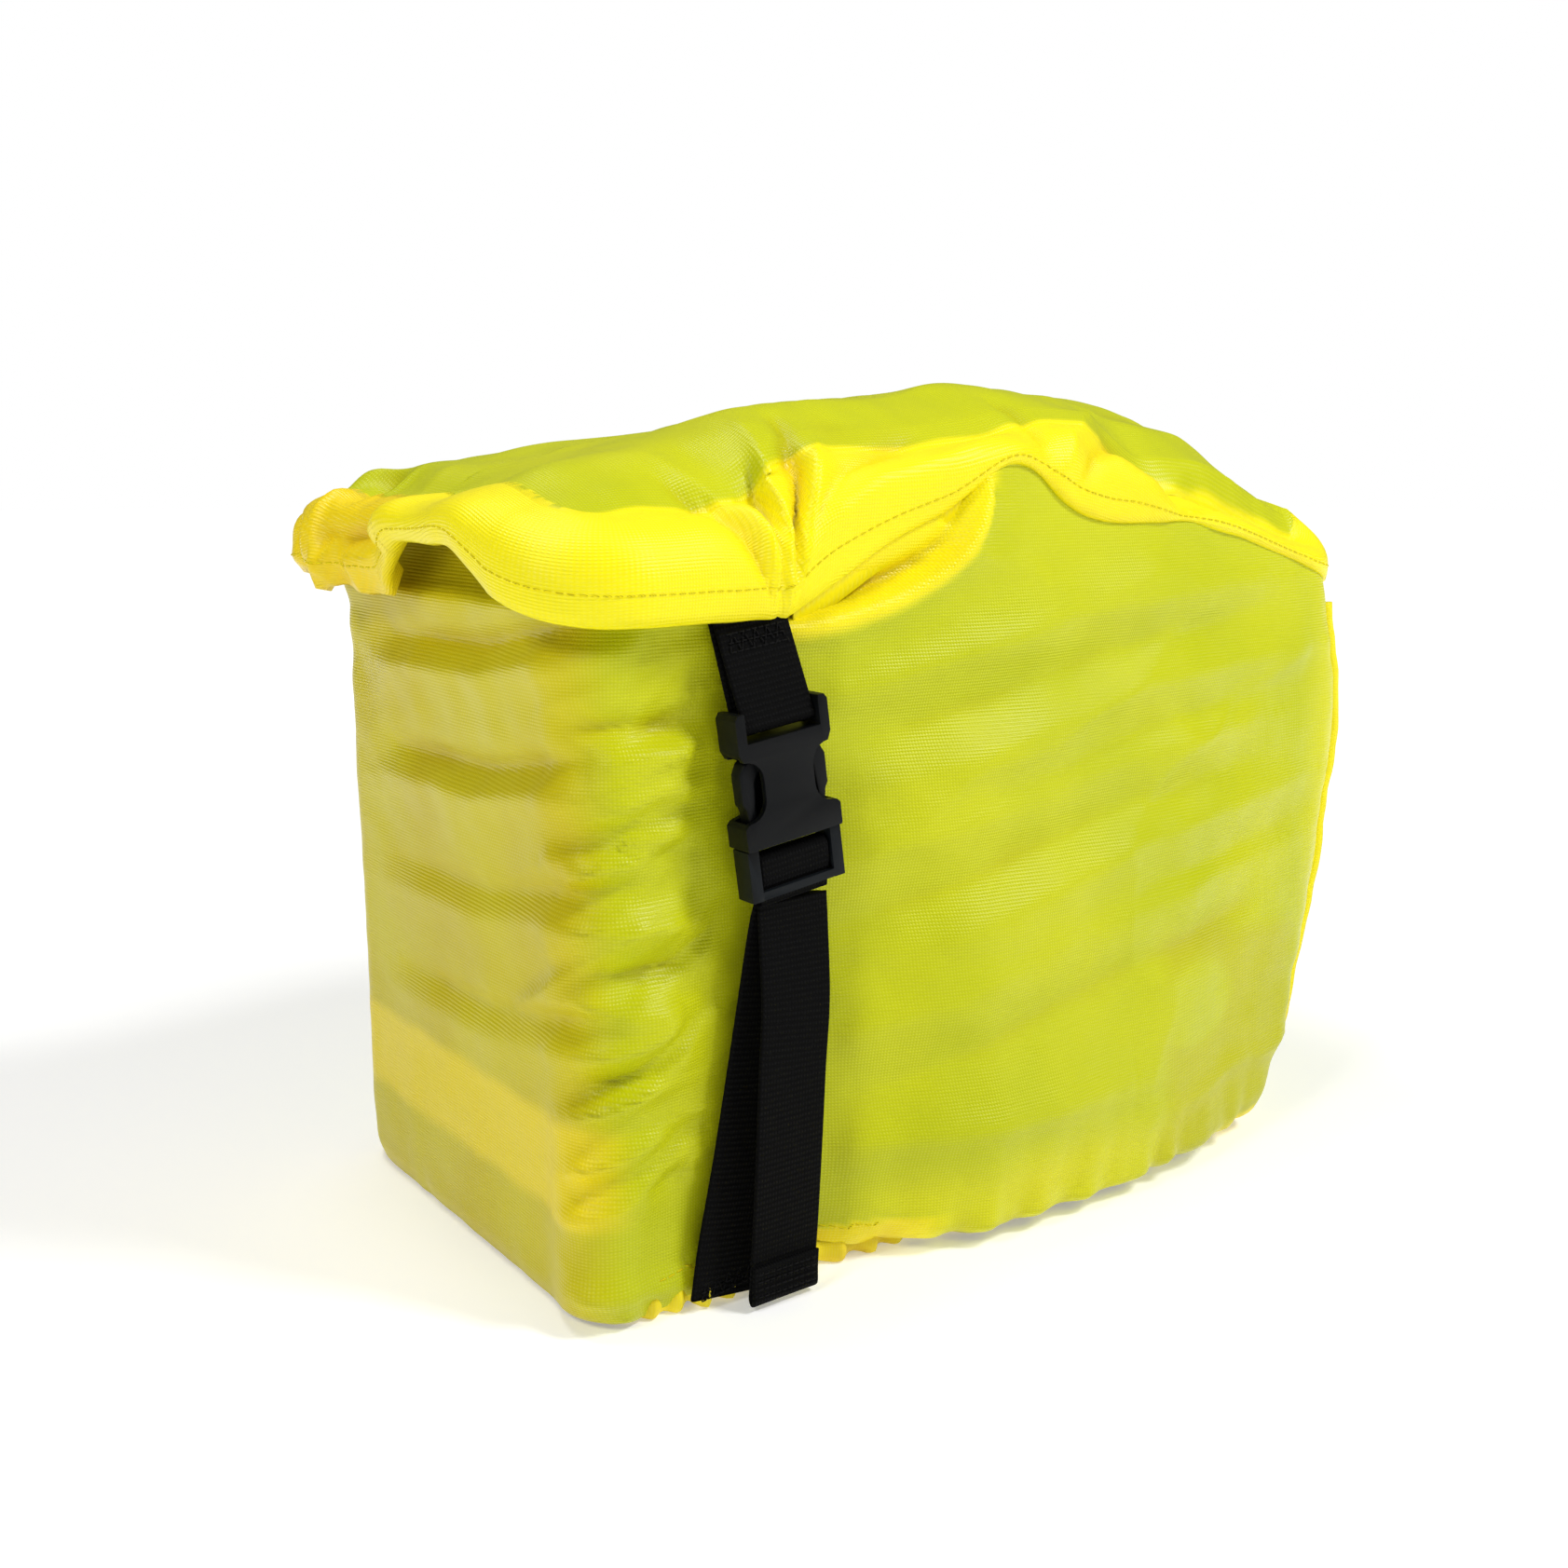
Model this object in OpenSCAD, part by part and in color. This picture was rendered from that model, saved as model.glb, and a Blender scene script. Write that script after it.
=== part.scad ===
// Dry bag: a waterproof nylon cover with an elastic hem and a buckled webbing strap,
// drawn tight over a padded liner bag with a domed lid. Millimetres, +Z up, origin at
// the centre of the liner's base. The front end faces -X and the strap is on the -Y side.

/* [Liner bag] */
// Length of the liner along X
liner_l = 282; // [270:2:290]
// Width of the liner across Y
liner_w = 164; // [150:2:166]
// Height of the liner's walls at the front end
liner_h = 194; // [180:2:200]
// Thickness of the padded walls
pad_t = 5; // [4:0.5:7]

/* [Cover] */
// Thickness of the cover's cloth solids
cloth_t = 1.2; // [1:0.1:1.5]
// Width across the long sides, at the front end
cover_w = 178; // [176:1:182]
// Height of the top seam at the front end
seam_h = 205; // [202:1:208]
// Rise of the cover's ridge above the top seam at its highest
crown_h = 50; // [44:1:52]
// Radius of the hem tunnel around the elastic
hem_r = 4; // [3.6:0.1:4.2]

/* [Strap] */
// Width of the webbing
web_w = 25; // [24:0.5:25.5]
// Thickness of the webbing
web_t = 1.3; // [1.1:0.1:1.4]
// Lean of the buckle from the vertical, towards the front end, in degrees
buckle_lean = 8; // [4:1:10]

/* [Buckle] */
// Thickness of the socket
socket_t = 10; // [9.5:0.5:11]
// Width of the socket at its mouth
mouth_w = 34; // [33.5:0.5:36]

/* [Hidden] */
$fn = 48;

// How fine the closed outlines are: steps round each corner and along each side
CORNER_STEPS = 5;
SIDE_STEPS = 7;
RING_N = 4 * (CORNER_STEPS + SIDE_STEPS);

// Profile of the cover's front and rear ends: X of the cloth's outer face at each height
FRONT_X = [[0, -146], [20, -148], [210, -148]];
REAR_X = [[0, 150], [15, 155], [57, 171], [90, 183], [118, 192], [144, 196], [180, 193], [210, 184]];
// The long sides: half width, how far they belly out at each height, and its share along X
cover_hw = cover_w / 2;
BELLY = [[0, 8], [12, 15], [25, 23], [60, 22], [140, 10], [205, 3]];
SPREAD = [[-150, 0], [-85, 0], [-50, 0.5], [-10, 1], [60, 1], [120, 0.7], [190, 0]];
// Height of the top seam above the front end's, along X, and the ridge's share of crown_h
SEAM_RISE = [[-160, 0], [-95, 0], [-60, 8], [-23, 30], [0, 40], [24, 40], [60, 28], [106, 24], [160, 13],
             [200, 0]];
RIDGE_SHARE = [[-160, 0.8], [-72, 0.78], [-35, 0.8], [-7, 0.62], [26, 0.68], [62, 0.98], [95, 0.96],
               [142, 0.86], [180, 0.7], [200, 0.6]];

// ---- outlines and skins ----

// A closed outline with round corners between x0 and x1, hw to each side
function outline(x0, x1, hw, r) =
    let (c = [[x1 - r, hw - r], [x0 + r, hw - r], [x0 + r, r - hw], [x1 - r, r - hw]])
    [for (q = [0:3])
        let (a = c[q] + r * [cos(90 * q + 90), sin(90 * q + 90)],
             n = q == 3 ? 0 : q + 1,
             b = c[n] + r * [cos(90 * n), sin(90 * n)])
        each concat(
            [for (j = [0:CORNER_STEPS])
                c[q] + r * [cos(90 * (q + j / CORNER_STEPS)), sin(90 * (q + j / CORNER_STEPS))]],
            [for (j = [1:SIDE_STEPS - 1]) a + (b - a) * j / SIDE_STEPS])];

// The liner's outline grown outwards by g
function liner_ring(g = 0) = outline(-liner_l / 2 - g, liner_l / 2 + g, liner_w / 2 + g, 20 + g);

// A point of the cover's outline pushed out by the belly of the long sides
function bulged(p, z) =
    [p.x, p.y + sign(p.y) * lookup(z, BELLY) * lookup(p.x, SPREAD) * min(1, abs(p.y) / cover_hw)];

function at_height(ring, z) = [for (p = ring) [p.x, p.y, z]];
function seam_z(x) = seam_h + lookup(x, SEAM_RISE);

// The middle of a ring
function middle(ring) = let (n = len(ring), u = [for (p = ring) 1]) u * ring / n;

// Faces that join rings of n points, in order, fanned to the points m and m + 1 at the two ends
function cup_faces(rings, n, m) = [
    for (i = [0:n - 1]) let (j = (i + 1) % n, e = (rings - 1) * n) each concat(
        [[j, i, m], [e + i, e + j, m + 1]],
        [for (k = [0:rings - 2]) each [[k * n + i, k * n + j, (k + 1) * n + j],
                                       [k * n + i, (k + 1) * n + j, (k + 1) * n + i]]])];

// A solid skin over rings that start at one closed end and finish at the other
module cup(rings) {
    n = len(rings[0]);
    k = len(rings);
    polyhedron(points = concat([for (r = rings) each r], [middle(rings[0]), middle(rings[k - 1])]),
               faces = cup_faces(k, n, k * n));
}

// A solid between two grids of the same size, outer and inner, joined round their edges
module thick_patch(outer, inner) {
    rows = len(outer);
    cols = len(outer[0]);
    m = rows * cols;
    rim = concat([for (c = [0:cols - 1]) c], [for (r = [1:rows - 1]) r * cols + cols - 1],
                 [for (c = [cols - 2:-1:0]) (rows - 1) * cols + c], [for (r = [rows - 2:-1:1]) r * cols]);
    k = len(rim);
    polyhedron(
        points = concat([for (r = outer) each r], [for (r = inner) each r]),
        faces = concat(
            [for (r = [0:rows - 2], c = [0:cols - 2])
                let (a = r * cols + c, b = a + 1, d = a + cols, e = d + 1) each
                    [[a, d, e], [a, e, b], [m + a, m + e, m + d], [m + a, m + b, m + e]]],
            [for (i = [0:k - 1]) let (p = rim[i], q = rim[(i + 1) % k]) each
                [[p, q, m + q], [p, m + q, m + p]]]));
}

// A closed tube or channel: a 2D section, in [outwards, up], carried round an outline
function outward(ring, i) =
    let (n = len(ring), a = ring[(i + n - 1) % n], b = ring[(i + 1) % n], d = b - a) [d.y, -d.x] / norm(d);

module ring_sweep(ring, section, z) {
    n = len(ring);
    m = len(section);
    polyhedron(
        points = [for (i = [0:n - 1], s = section)
            let (o = outward(ring, i)) [ring[i].x + o.x * s.x, ring[i].y + o.y * s.x, z + s.y]],
        faces = [for (i = [0:n - 1], k = [0:m - 1])
            let (j = (i + 1) % n, l = (k + 1) % m) each
                [[i * m + k, i * m + l, j * m + l], [i * m + k, j * m + l, j * m + k]]]);
}

// ---- liner bag ----

base_t = 3;

module base_board() color("dimgray")
    linear_extrude(base_t) polygon(liner_ring(-8));

tub_z0 = base_t;
floor_z = tub_z0 + 4;

module liner_tub() color("darkslategray") difference() {
    hull() {
        translate([0, 0, tub_z0]) linear_extrude(1) polygon(liner_ring(-5));
        translate([0, 0, 14]) linear_extrude(liner_h - 14) polygon(liner_ring());
    }
    translate([0, 0, floor_z]) linear_extrude(liner_h) polygon(liner_ring(-pad_t));
}

band_z0 = 34;
band_z1 = 58;
band_t = 0.8;

// The reflective band runs across the front end and along both sides
module reflective_band() color("gold") translate([0, 0, band_z0]) linear_extrude(band_z1 - band_z0)
    intersection() {
        difference() {
            polygon(liner_ring(band_t));
            polygon(liner_ring(0.02));
        }
        translate([-200, -100]) square([270, 200]);
    }

// A loop of webbing lies flat on the rear end, to pull the liner out by
loop_z = 120;
module haul_loop() color("black")
    translate([liner_l / 2 + 0.05, 0, loop_z]) rotate([90, 0, 90]) linear_extrude(1.2) difference() {
        scale([1.3, 1]) circle(13);
        scale([1.5, 1]) circle(7);
    }

// ---- liner lid ----

lid_z = liner_h + 0.4;
// The lid is hinged along its rear edge, set in from the liner's rear end
lid_hinge_x = liner_l / 2 - 4;
LID_SHARE = [1, 0.97, 0.9, 0.78, 0.6, 0.35, 0.12];
lid_rim = outline(-liner_l / 2, lid_hinge_x, liner_w / 2, 20);

function lid_rise(x) = lookup(x, [[-150, 24], [-60, 42], [30, 58], [90, 54], [125, 40], [145, 26]]);
function lid_ring(share, drop) =
    [for (p = lid_rim) [p.x * share, p.y * share,
                        lid_z + 5 + lid_rise(p.x * share) * pow(1 - pow(share, 3), 0.6) - drop]];

module liner_lid() color("darkslategray") cup(concat(
    [for (i = [len(LID_SHARE) - 1:-1:0]) lid_ring(LID_SHARE[i], 0)],
    [at_height(lid_rim, lid_z)],
    [at_height(outline(4 - liner_l / 2, lid_hinge_x - 4, liner_w / 2 - 4, 16), lid_z)],
    [for (i = [1:len(LID_SHARE) - 1]) lid_ring(LID_SHARE[i] - 0.02, 4)]));

// Piping round the rim of the liner's walls
piping_r = 0.9;
module rim_piping() color("black")
    ring_sweep(liner_ring(piping_r + 0.05), [for (a = [0:60:300]) piping_r * [-cos(a), sin(a)]],
               liner_h - 1.3);

// A tape sewn inside the rear wall carries the lid
module lid_hinge_tape() color("black")
    translate([liner_l / 2 - pad_t - 0.9, -60, liner_h - 14]) cube([0.8, 120, 13.8]);

// A grab handle of webbing lies flat along the top of the lid
module lid_handle() color("black") thick_patch(
    [for (v = [-1, 0, 1]) [for (x = [-50:10:50]) [x + 20, v * 11, handle_z(x + 20, v * 11) + 1.8]]],
    [for (v = [-1, 0, 1]) [for (x = [-50:10:50]) [x + 20, v * 11, handle_z(x + 20, v * 11) + 0.3]]]);
function handle_z(x, y) = lid_z + 5 + lid_rise(x);

// ---- cover ----

function cover_z(share, x) = hem_z + (seam_z(x) - hem_z) * share;
function cover_ring(share, g = 0) =
    let (z = hem_z + (seam_h - hem_z) * share)
    [for (p = outline(lookup(z, FRONT_X) - g, lookup(z, REAR_X) + g, cover_hw + g, 20 + g))
        let (q = bulged(p, z)) [q.x, q.y, cover_z(share, p.x)]];

hem_z = 8.6;
WALL_SHARES = [0, 0.1, 0.3, 0.5, 0.7, 0.85, 1];
TOP_SHARE = [0.99, 0.95, 0.88, 0.75, 0.57, 0.33, 0.1];
half_step = CORNER_STEPS + SIDE_STEPS;

// A stretch of the cover's wall, from one point of the outline to another
module wall(first, last) {
    outer = [for (s = WALL_SHARES) let (r = cover_ring(s)) [for (i = [first:last]) r[i % RING_N]]];
    inner = [for (s = WALL_SHARES) let (r = cover_ring(s, -cloth_t)) [for (i = [first:last]) r[i % RING_N]]];
    thick_patch(outer, inner);
}

// One cloth makes both long sides and the front end, and a second the rear end
module wall_cloth() color("gold") wall(CORNER_STEPS, 3 * half_step);
module rear_panel() color("gold") wall(3 * half_step, 4 * half_step + CORNER_STEPS);

cover_mid = [15, 0];
function top_ring(share, drop) =
    [for (p = cover_ring(1)) let (q = cover_mid + ([p.x, p.y] - cover_mid) * share)
        let (rise = crown_h * lookup(q.x, RIDGE_SHARE) * pow(1 - pow(share, 3), 0.55))
            [q.x, q.y, seam_z(q.x) + 1.4 + rise - drop]];

module top_panel() color("yellow") cup(concat(
    [for (i = [len(TOP_SHARE) - 1:-1:0]) top_ring(TOP_SHARE[i], 0)],
    [[for (p = top_ring(1, 0)) [p.x, p.y, seam_z(p.x) + 0.1]]],
    [[for (p = top_ring(0.985, 0)) [p.x, p.y, seam_z(p.x) + 0.1]]],
    [for (i = [1:len(TOP_SHARE) - 1]) top_ring(TOP_SHARE[i] - 0.015, 1.6)]));

// A tape covers the seam between the top and the walls, from the strap back round the rear end.
// Its lower edge flares out with the wall.
function tape_row(g, dz) =
    let (r = cover_ring(1, g))
    [for (i = [2 * half_step + CORNER_STEPS + 3:4 * half_step + CORNER_STEPS + 3])
        r[i % RING_N] + [0, 0, dz]];

module top_seam_tape() color("khaki")
    thick_patch([tape_row(2.7, -4), tape_row(1, 0), tape_row(1, 3)],
                [tape_row(1.9, -4), tape_row(0.2, 0), tape_row(0.2, 3)]);

// The slack of the top folds down over the front end
fold_out = 10;
fold_gap = 3.4;
fold_first = half_step - 2;
fold_last = 2 * half_step + CORNER_STEPS + 2;

function fold_ease(i) = pow(sin(180 * (i - fold_first) / (fold_last - fold_first)), 0.4);
function fold_row(dz, g, t) =
    let (r = cover_ring(1), flat = [for (q = r) [q.x, q.y]])
    [for (i = [fold_first:fold_last])
        let (o = outward(flat, i) * (fold_gap + t + g * fold_ease(i)))
            [r[i].x + o.x, r[i].y + o.y, seam_h + dz]];

// Rows of the fold from its edge up: height above the seam, and how far out
FOLD_ROWS = [[8, fold_out], [18, fold_out + 3], [30, fold_out], [40, 4]];
FOLD_INNER = [[8, fold_out], [18, fold_out + 3], [29, fold_out], [38.6, 4]];
module front_fold() color("yellow") thick_patch(
    [for (f = FOLD_ROWS) fold_row(f[0], f[1], cloth_t)],
    [for (f = FOLD_INNER) fold_row(f[0], f[1], 0)]);

// The hem is a tunnel of cloth, open towards the wall, with the elastic inside it
hem_side = liner_w / 2 + 2.2 + hem_r;
hem_end = liner_l / 2 + 2.2 + hem_r;
hem_ring = [for (p = outline(-hem_end, hem_end, hem_side, 22)) bulged(p, 0)];
hem_gap = 35;
module hem_tunnel() color("yellow") {
    ends = [for (i = [0:11]) 90 + hem_gap + i * (360 - 2 * hem_gap) / 11];
    ring_sweep(hem_ring, concat([for (a = ends) (hem_r - 1) * [cos(a), sin(a)]],
                                [for (i = [11:-1:0]) hem_r * [cos(ends[i]), sin(ends[i])]]), hem_r + 0.3);
}

elastic_r = 2.2;
module hem_elastic() color("white")
    ring_sweep(hem_ring, [for (a = [0:45:315]) -elastic_r * [-cos(-a), sin(-a)]], hem_r + 0.3);

// ---- strap and buckle ----

// The buckle's own frame: origin at the middle of the socket's mouth, +Z up the strap
strap_y = -cover_hw - 5;
mouth = [-86, strap_y - 6.8, 146.5];
module buckle_frame() translate(mouth) rotate([0, -buckle_lean, 0]) children();
// Solids drawn flat in the buckle's face, and solids drawn in profile
module in_face(t) rotate([90, 0, 0]) linear_extrude(t, center = true) children();
module in_profile(w) rotate([90, 0, 90]) linear_extrude(w, center = true) children();

socket_l = 40;
shoulder_w = mouth_w - 1.6;
waist_w = mouth_w - 16.5;
cavity_w = mouth_w - 3.2;
cavity_t = 6;
cavity_top = 28.2;
bar_r = 1.75;
bar_z = socket_l - 4.1;
slot_w = web_w + 0.8;
slot_z = socket_l - 8.8;
// Round-ended cut-outs at the waist, where the prongs are pressed
scoop_r = 6.2;
scoop_low_z = 14.4;
scoop_top_z = 20;

module socket_outline() {
    half = [[slot_w / 2, socket_l], [shoulder_w / 2 - 1, socket_l], [shoulder_w / 2, socket_l - 1.5],
            [shoulder_w / 2, slot_z - 2.4], [shoulder_w / 2 - 1, slot_z - 4.4]];
    scoop = [for (a = [0:15:90]) [waist_w / 2 + scoop_r * (1 - sin(a)), scoop_top_z + scoop_r * cos(a)]];
    scoop_low = [for (a = [90:-15:0])
        [waist_w / 2 + scoop_r * (1 - sin(a)), scoop_low_z - scoop_r * cos(a)]];
    low = [[mouth_w / 2 - 1.1, 7.9], [mouth_w / 2, 6.8], [mouth_w / 2, 0]];
    right = concat(half, scoop, scoop_low, low);
    polygon(concat([[slot_w / 2, slot_z]], right,
                   [for (i = [len(right) - 1:-1:0]) [-right[i].x, right[i].y]], [[-slot_w / 2, slot_z]]));
}

module buckle_socket() color("black") buckle_frame() {
    difference() {
        in_face(socket_t) socket_outline();
        translate([-cavity_w / 2, -cavity_t / 2, -1]) cube([cavity_w, cavity_t, cavity_top + 1]);
    }
    translate([0, 0, bar_z]) rotate([0, 90, 0]) cylinder(r = bar_r, h = slot_w + 2, center = true);
}

// A band of webbing that runs up one face of a bar, round it and down the other
function hairpin(z0, r, spread0) = concat(
    [[-spread0, z0]], [for (a = [180:-15:0]) [r * cos(a), -r * sin(a)]], [[spread0, z0]],
    [[spread0 - web_t, z0]], [for (a = [0:15:180]) [(r - web_t) * cos(a), -(r - web_t) * sin(a)]],
    [[web_t - spread0, z0]]);

web_top_z = 27;
module upper_webbing() color("black") buckle_frame()
    translate([0, 0, bar_z]) in_profile(web_w) polygon([for (p = hairpin(web_top_z, bar_r + 0.3 + web_t, 1.5))
        p.y > 5 ? p + [7.4, 0] : p]);

module bartack(w, h) {
    for (i = [-1, 1]) translate([0, 0, i * h / 2]) cube([w, 0.5, 1], center = true);
    for (i = [-2:2]) translate([i * w / 5, 0, 0]) rotate([0, 30 * (i % 2 == 0 ? 1 : -1), 0])
        cube([0.8, 0.5, h], center = true);
}

module upper_bartack() color("black") buckle_frame()
    translate([0, 4.15, bar_z + web_top_z - 4]) rotate([-17.7, 0, 0]) bartack(web_w - 4, 5);

// Plug: a frame with two bars outside the mouth, and a shoulder and tongue inside it
plug_w = mouth_w - 0.6;
plug_t = 7.6;
plug_l = 15.4;
tongue_l = 22;
wrap_bar_z = -5.4;
end_bar_w = 2.4;

module buckle_plug() color("black") buckle_frame() {
    for (s = [-1, 1]) translate([s * (plug_w + slot_w) / 4, 0, -0.4 - plug_l / 2])
        cube([(plug_w - slot_w) / 2, plug_t, plug_l], center = true);
    translate([0, (end_bar_w - plug_t) / 2, -plug_l + 0.9])
        cube([slot_w + 1, end_bar_w, end_bar_w], center = true);
    translate([0, 0, wrap_bar_z]) rotate([0, 90, 0]) cylinder(r = 1.6, h = slot_w + 1, center = true);
    translate([0, 0, 1.3]) cube([cavity_w - 0.5, cavity_t - 0.5, 3.4], center = true);
    translate([0, 0, tongue_l / 2 + 1]) cube([4.4, cavity_t - 1.4, tongue_l], center = true);
}

// Webbing runs up behind the end bar, round the middle bar and down behind the end bar again
module bar_wrap() color("black") buckle_frame() translate([0, 0, wrap_bar_z]) in_profile(web_w)
    mirror([0, 1]) polygon(concat(
        [[-0.25, 11.6]], [for (a = [180:-15:0]) [3.2 * cos(a), -3.2 * sin(a)]], [[2.5, 11.6]],
        [[1.2, 11.6]], [for (a = [0:15:180]) [1.9 * cos(a), -1.9 * sin(a)]], [[1.05, 11.6]]));

prong_x = cavity_w / 2 - 3;
prong_z = 3.3;
prong_out = cavity_w / 2 - 0.2;
module prong(side) color("black") buckle_frame() in_face(cavity_t - 0.6) polygon([for (p = [
        [prong_x - 1.5, prong_z], [prong_x + 1.5, prong_z], [prong_x + 1.4, 9], [prong_x + 1.8, 11.5],
        [prong_out, 13], [prong_out, 22], [prong_out - 1.6, 25], [prong_x - 3, 27.4], [prong_x - 5.5, 27],
        [prong_x - 4, 23], [prong_x - 2, 19], [prong_x - 1.4, 12]]) [side * p.x, p.y]]);

module prong_front() prong(-1);
module prong_rear() prong(1);

// Where the fixed leg and the free tail start and end: middle of the webbing's near face
leg_top = [-84.5, strap_y - 2.5, 131];
leg_foot = [-103, strap_y + 0.8, 8];
tail_top = [-84, strap_y - 7, 126.9];
tail_foot = [-88, strap_y - 6, 4.5];

module strip(a, b) hull() for (p = [a, b])
    translate([p.x - web_w / 2, p.y, p.z - 0.2]) cube([web_w, web_t, 0.4]);

module strap_leg() color("black") strip(leg_top, leg_foot);

module leg_bartack() color("black")
    translate([leg_foot.x + 1.2, leg_foot.y - 0.6, leg_foot.z + 5]) rotate([1.6, -9, 0])
        bartack(web_w - 5, 5);

module strap_tail() color("black") strip(tail_top, tail_foot);

fold_h = 12;
module tail_end_fold() color("black")
    strip(tail_foot + [0.4, -web_t - 0.1, fold_h], tail_foot + [0, -web_t - 0.05, 0]);

base_board();
liner_tub();
reflective_band();
haul_loop();
liner_lid();
rim_piping();
lid_hinge_tape();
lid_handle();
wall_cloth();
rear_panel();
top_panel();
top_seam_tape();
front_fold();
hem_tunnel();
hem_elastic();
upper_webbing();
upper_bartack();
buckle_socket();
strap_leg();
leg_bartack();
buckle_plug();
bar_wrap();
prong_front();
prong_rear();
strap_tail();
tail_end_fold();
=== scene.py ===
import math

import bmesh
import bpy
import numpy as np
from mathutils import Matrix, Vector, noise


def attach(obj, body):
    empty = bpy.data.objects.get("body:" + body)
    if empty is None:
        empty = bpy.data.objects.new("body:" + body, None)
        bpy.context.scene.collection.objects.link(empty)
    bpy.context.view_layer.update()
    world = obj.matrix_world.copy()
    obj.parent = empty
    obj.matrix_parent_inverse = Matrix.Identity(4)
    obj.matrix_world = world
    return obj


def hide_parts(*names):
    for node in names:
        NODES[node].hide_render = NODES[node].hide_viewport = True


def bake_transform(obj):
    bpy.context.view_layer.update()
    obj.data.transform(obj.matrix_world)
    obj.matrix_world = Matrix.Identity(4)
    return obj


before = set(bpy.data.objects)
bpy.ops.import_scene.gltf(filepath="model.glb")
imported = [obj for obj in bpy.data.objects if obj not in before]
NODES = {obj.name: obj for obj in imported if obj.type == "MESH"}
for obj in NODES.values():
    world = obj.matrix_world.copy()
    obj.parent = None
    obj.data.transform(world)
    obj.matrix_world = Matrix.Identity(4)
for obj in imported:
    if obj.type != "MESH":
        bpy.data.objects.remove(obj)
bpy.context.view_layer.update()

MM = 0.001

# ---------------------------------------------------------------- small tools


def curve(table, x):
    """A smooth curve through the points of a table, flat beyond its ends and with no overshoot."""
    kx, ky = np.asarray(table, float).T
    step = np.diff(kx)
    rise = np.diff(ky) / step
    slope = np.concatenate([rise[:1], np.zeros(len(kx) - 2), rise[-1:]])
    same = rise[:-1] * rise[1:] > 0
    total = np.where(same, rise[:-1] + rise[1:], 1.0)
    slope[1:-1] = np.where(same, 2 * rise[:-1] * rise[1:] / total, 0.0)
    x = np.clip(x, kx[0], kx[-1])
    i = np.clip(np.searchsorted(kx, x, side="right") - 1, 0, len(step) - 1)
    t = (x - kx[i]) / step[i]
    h = step[i]
    return ((1 + 2 * t) * (1 - t) ** 2 * ky[i] + t * (1 - t) ** 2 * h * slope[i]
            + t * t * (3 - 2 * t) * ky[i + 1] + t * t * (t - 1) * h * slope[i + 1])


def smooth(lo, hi, x):
    """0 below lo, 1 above hi, and an even S between them. lo may be the larger."""
    t = np.clip((np.asarray(x, float) - lo) / (hi - lo), 0, 1)
    return t * t * (3 - 2 * t)


def hump(x, centre, width):
    """A smooth hump of height 1 round centre."""
    return np.exp(-((x - centre) / width) ** 2)


def ripple(a, b, size, seed):
    """Soft noise from -1 to 1 over two surface coordinates in mm, size being its usual wavelength."""
    a, b = np.broadcast_arrays(a, b)
    flat = [noise.noise((p / size, q / size, seed)) for p, q in zip(a.ravel().tolist(), b.ravel().tolist())]
    return np.array(flat).reshape(a.shape)


def fold(a, b, amp, above, below, path):
    """The height of a fold that runs along a path of (a, b) points and fades out at both ends.
    above and below are its widths to either side of the path, the left side being above."""
    path = np.asarray(path, float)
    lengths = np.hypot(*np.diff(path, axis=0).T)
    along = np.concatenate([[0], np.cumsum(lengths)])
    best = np.full(np.shape(a), 1e9)
    side = np.zeros(np.shape(a))
    where = np.zeros(np.shape(a))
    for k, (p, q) in enumerate(zip(path[:-1], path[1:])):
        d = (q - p) / lengths[k]
        ra, rb = a - p[0], b - p[1]
        t = np.clip(ra * d[0] + rb * d[1], 0, lengths[k])
        dist = np.hypot(ra - t * d[0], rb - t * d[1])
        near = dist < best
        best = np.where(near, dist, best)
        side = np.where(near, d[0] * rb - d[1] * ra, side)
        where = np.where(near, (along[k] + t) / along[-1], where)
    width = np.where(side > 0, above, below)
    fade = np.sqrt(np.clip(np.minimum(where, 1 - where) * 4 + 0.12, 0, 1))
    return amp * fade * np.exp(-(best / width) ** 1.35)


def make(name, points, faces, uv=None, values=None):
    """A mesh object from points in mm. uv is per point, in metres; values are named numbers per point."""
    points = np.asarray(points, float).reshape(-1, 3) * MM
    mesh = bpy.data.meshes.new(name)
    mesh.from_pydata(points.tolist(), [], [tuple(int(i) for i in f) for f in faces])
    mesh.validate()
    for key, data in (values or {}).items():
        layer = mesh.attributes.new(key, "FLOAT", "POINT")
        layer.data.foreach_set("value", np.asarray(data, np.float32).ravel())
    if uv is not None:
        layer = mesh.uv_layers.new(name="UVMap")
        corner = np.zeros(len(mesh.loops), np.int32)
        mesh.loops.foreach_get("vertex_index", corner)
        layer.data.foreach_set("uv", np.asarray(uv, np.float32).reshape(-1, 2)[corner].ravel())
    mesh.polygons.foreach_set("use_smooth", [True] * len(mesh.polygons))
    obj = bpy.data.objects.new(name, mesh)
    bpy.context.scene.collection.objects.link(obj)
    return obj


def grid_faces(rows, cols, closed=False, start=0):
    """Quads over a grid of points stored row by row."""
    last = cols if closed else cols - 1
    return [(start + r * cols + c, start + r * cols + (c + 1) % cols,
             start + (r + 1) * cols + (c + 1) % cols, start + (r + 1) * cols + c)
            for r in range(rows - 1) for c in range(last)]


def apply(obj, kind, **settings):
    """Adds a modifier and applies it at once."""
    mod = obj.modifiers.new(kind.lower(), kind)
    for key, value in settings.items():
        setattr(mod, key, value)
    with bpy.context.temp_override(object=obj, active_object=obj, selected_objects=[obj]):
        bpy.ops.object.modifier_apply(modifier=mod.name)
    return obj


def recalc(obj):
    """Turns every face outwards."""
    bm = bmesh.new()
    bm.from_mesh(obj.data)
    bmesh.ops.recalc_face_normals(bm, faces=bm.faces)
    bm.to_mesh(obj.data)
    bm.free()
    return obj


# ---------------------------------------------------------------- materials


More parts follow.
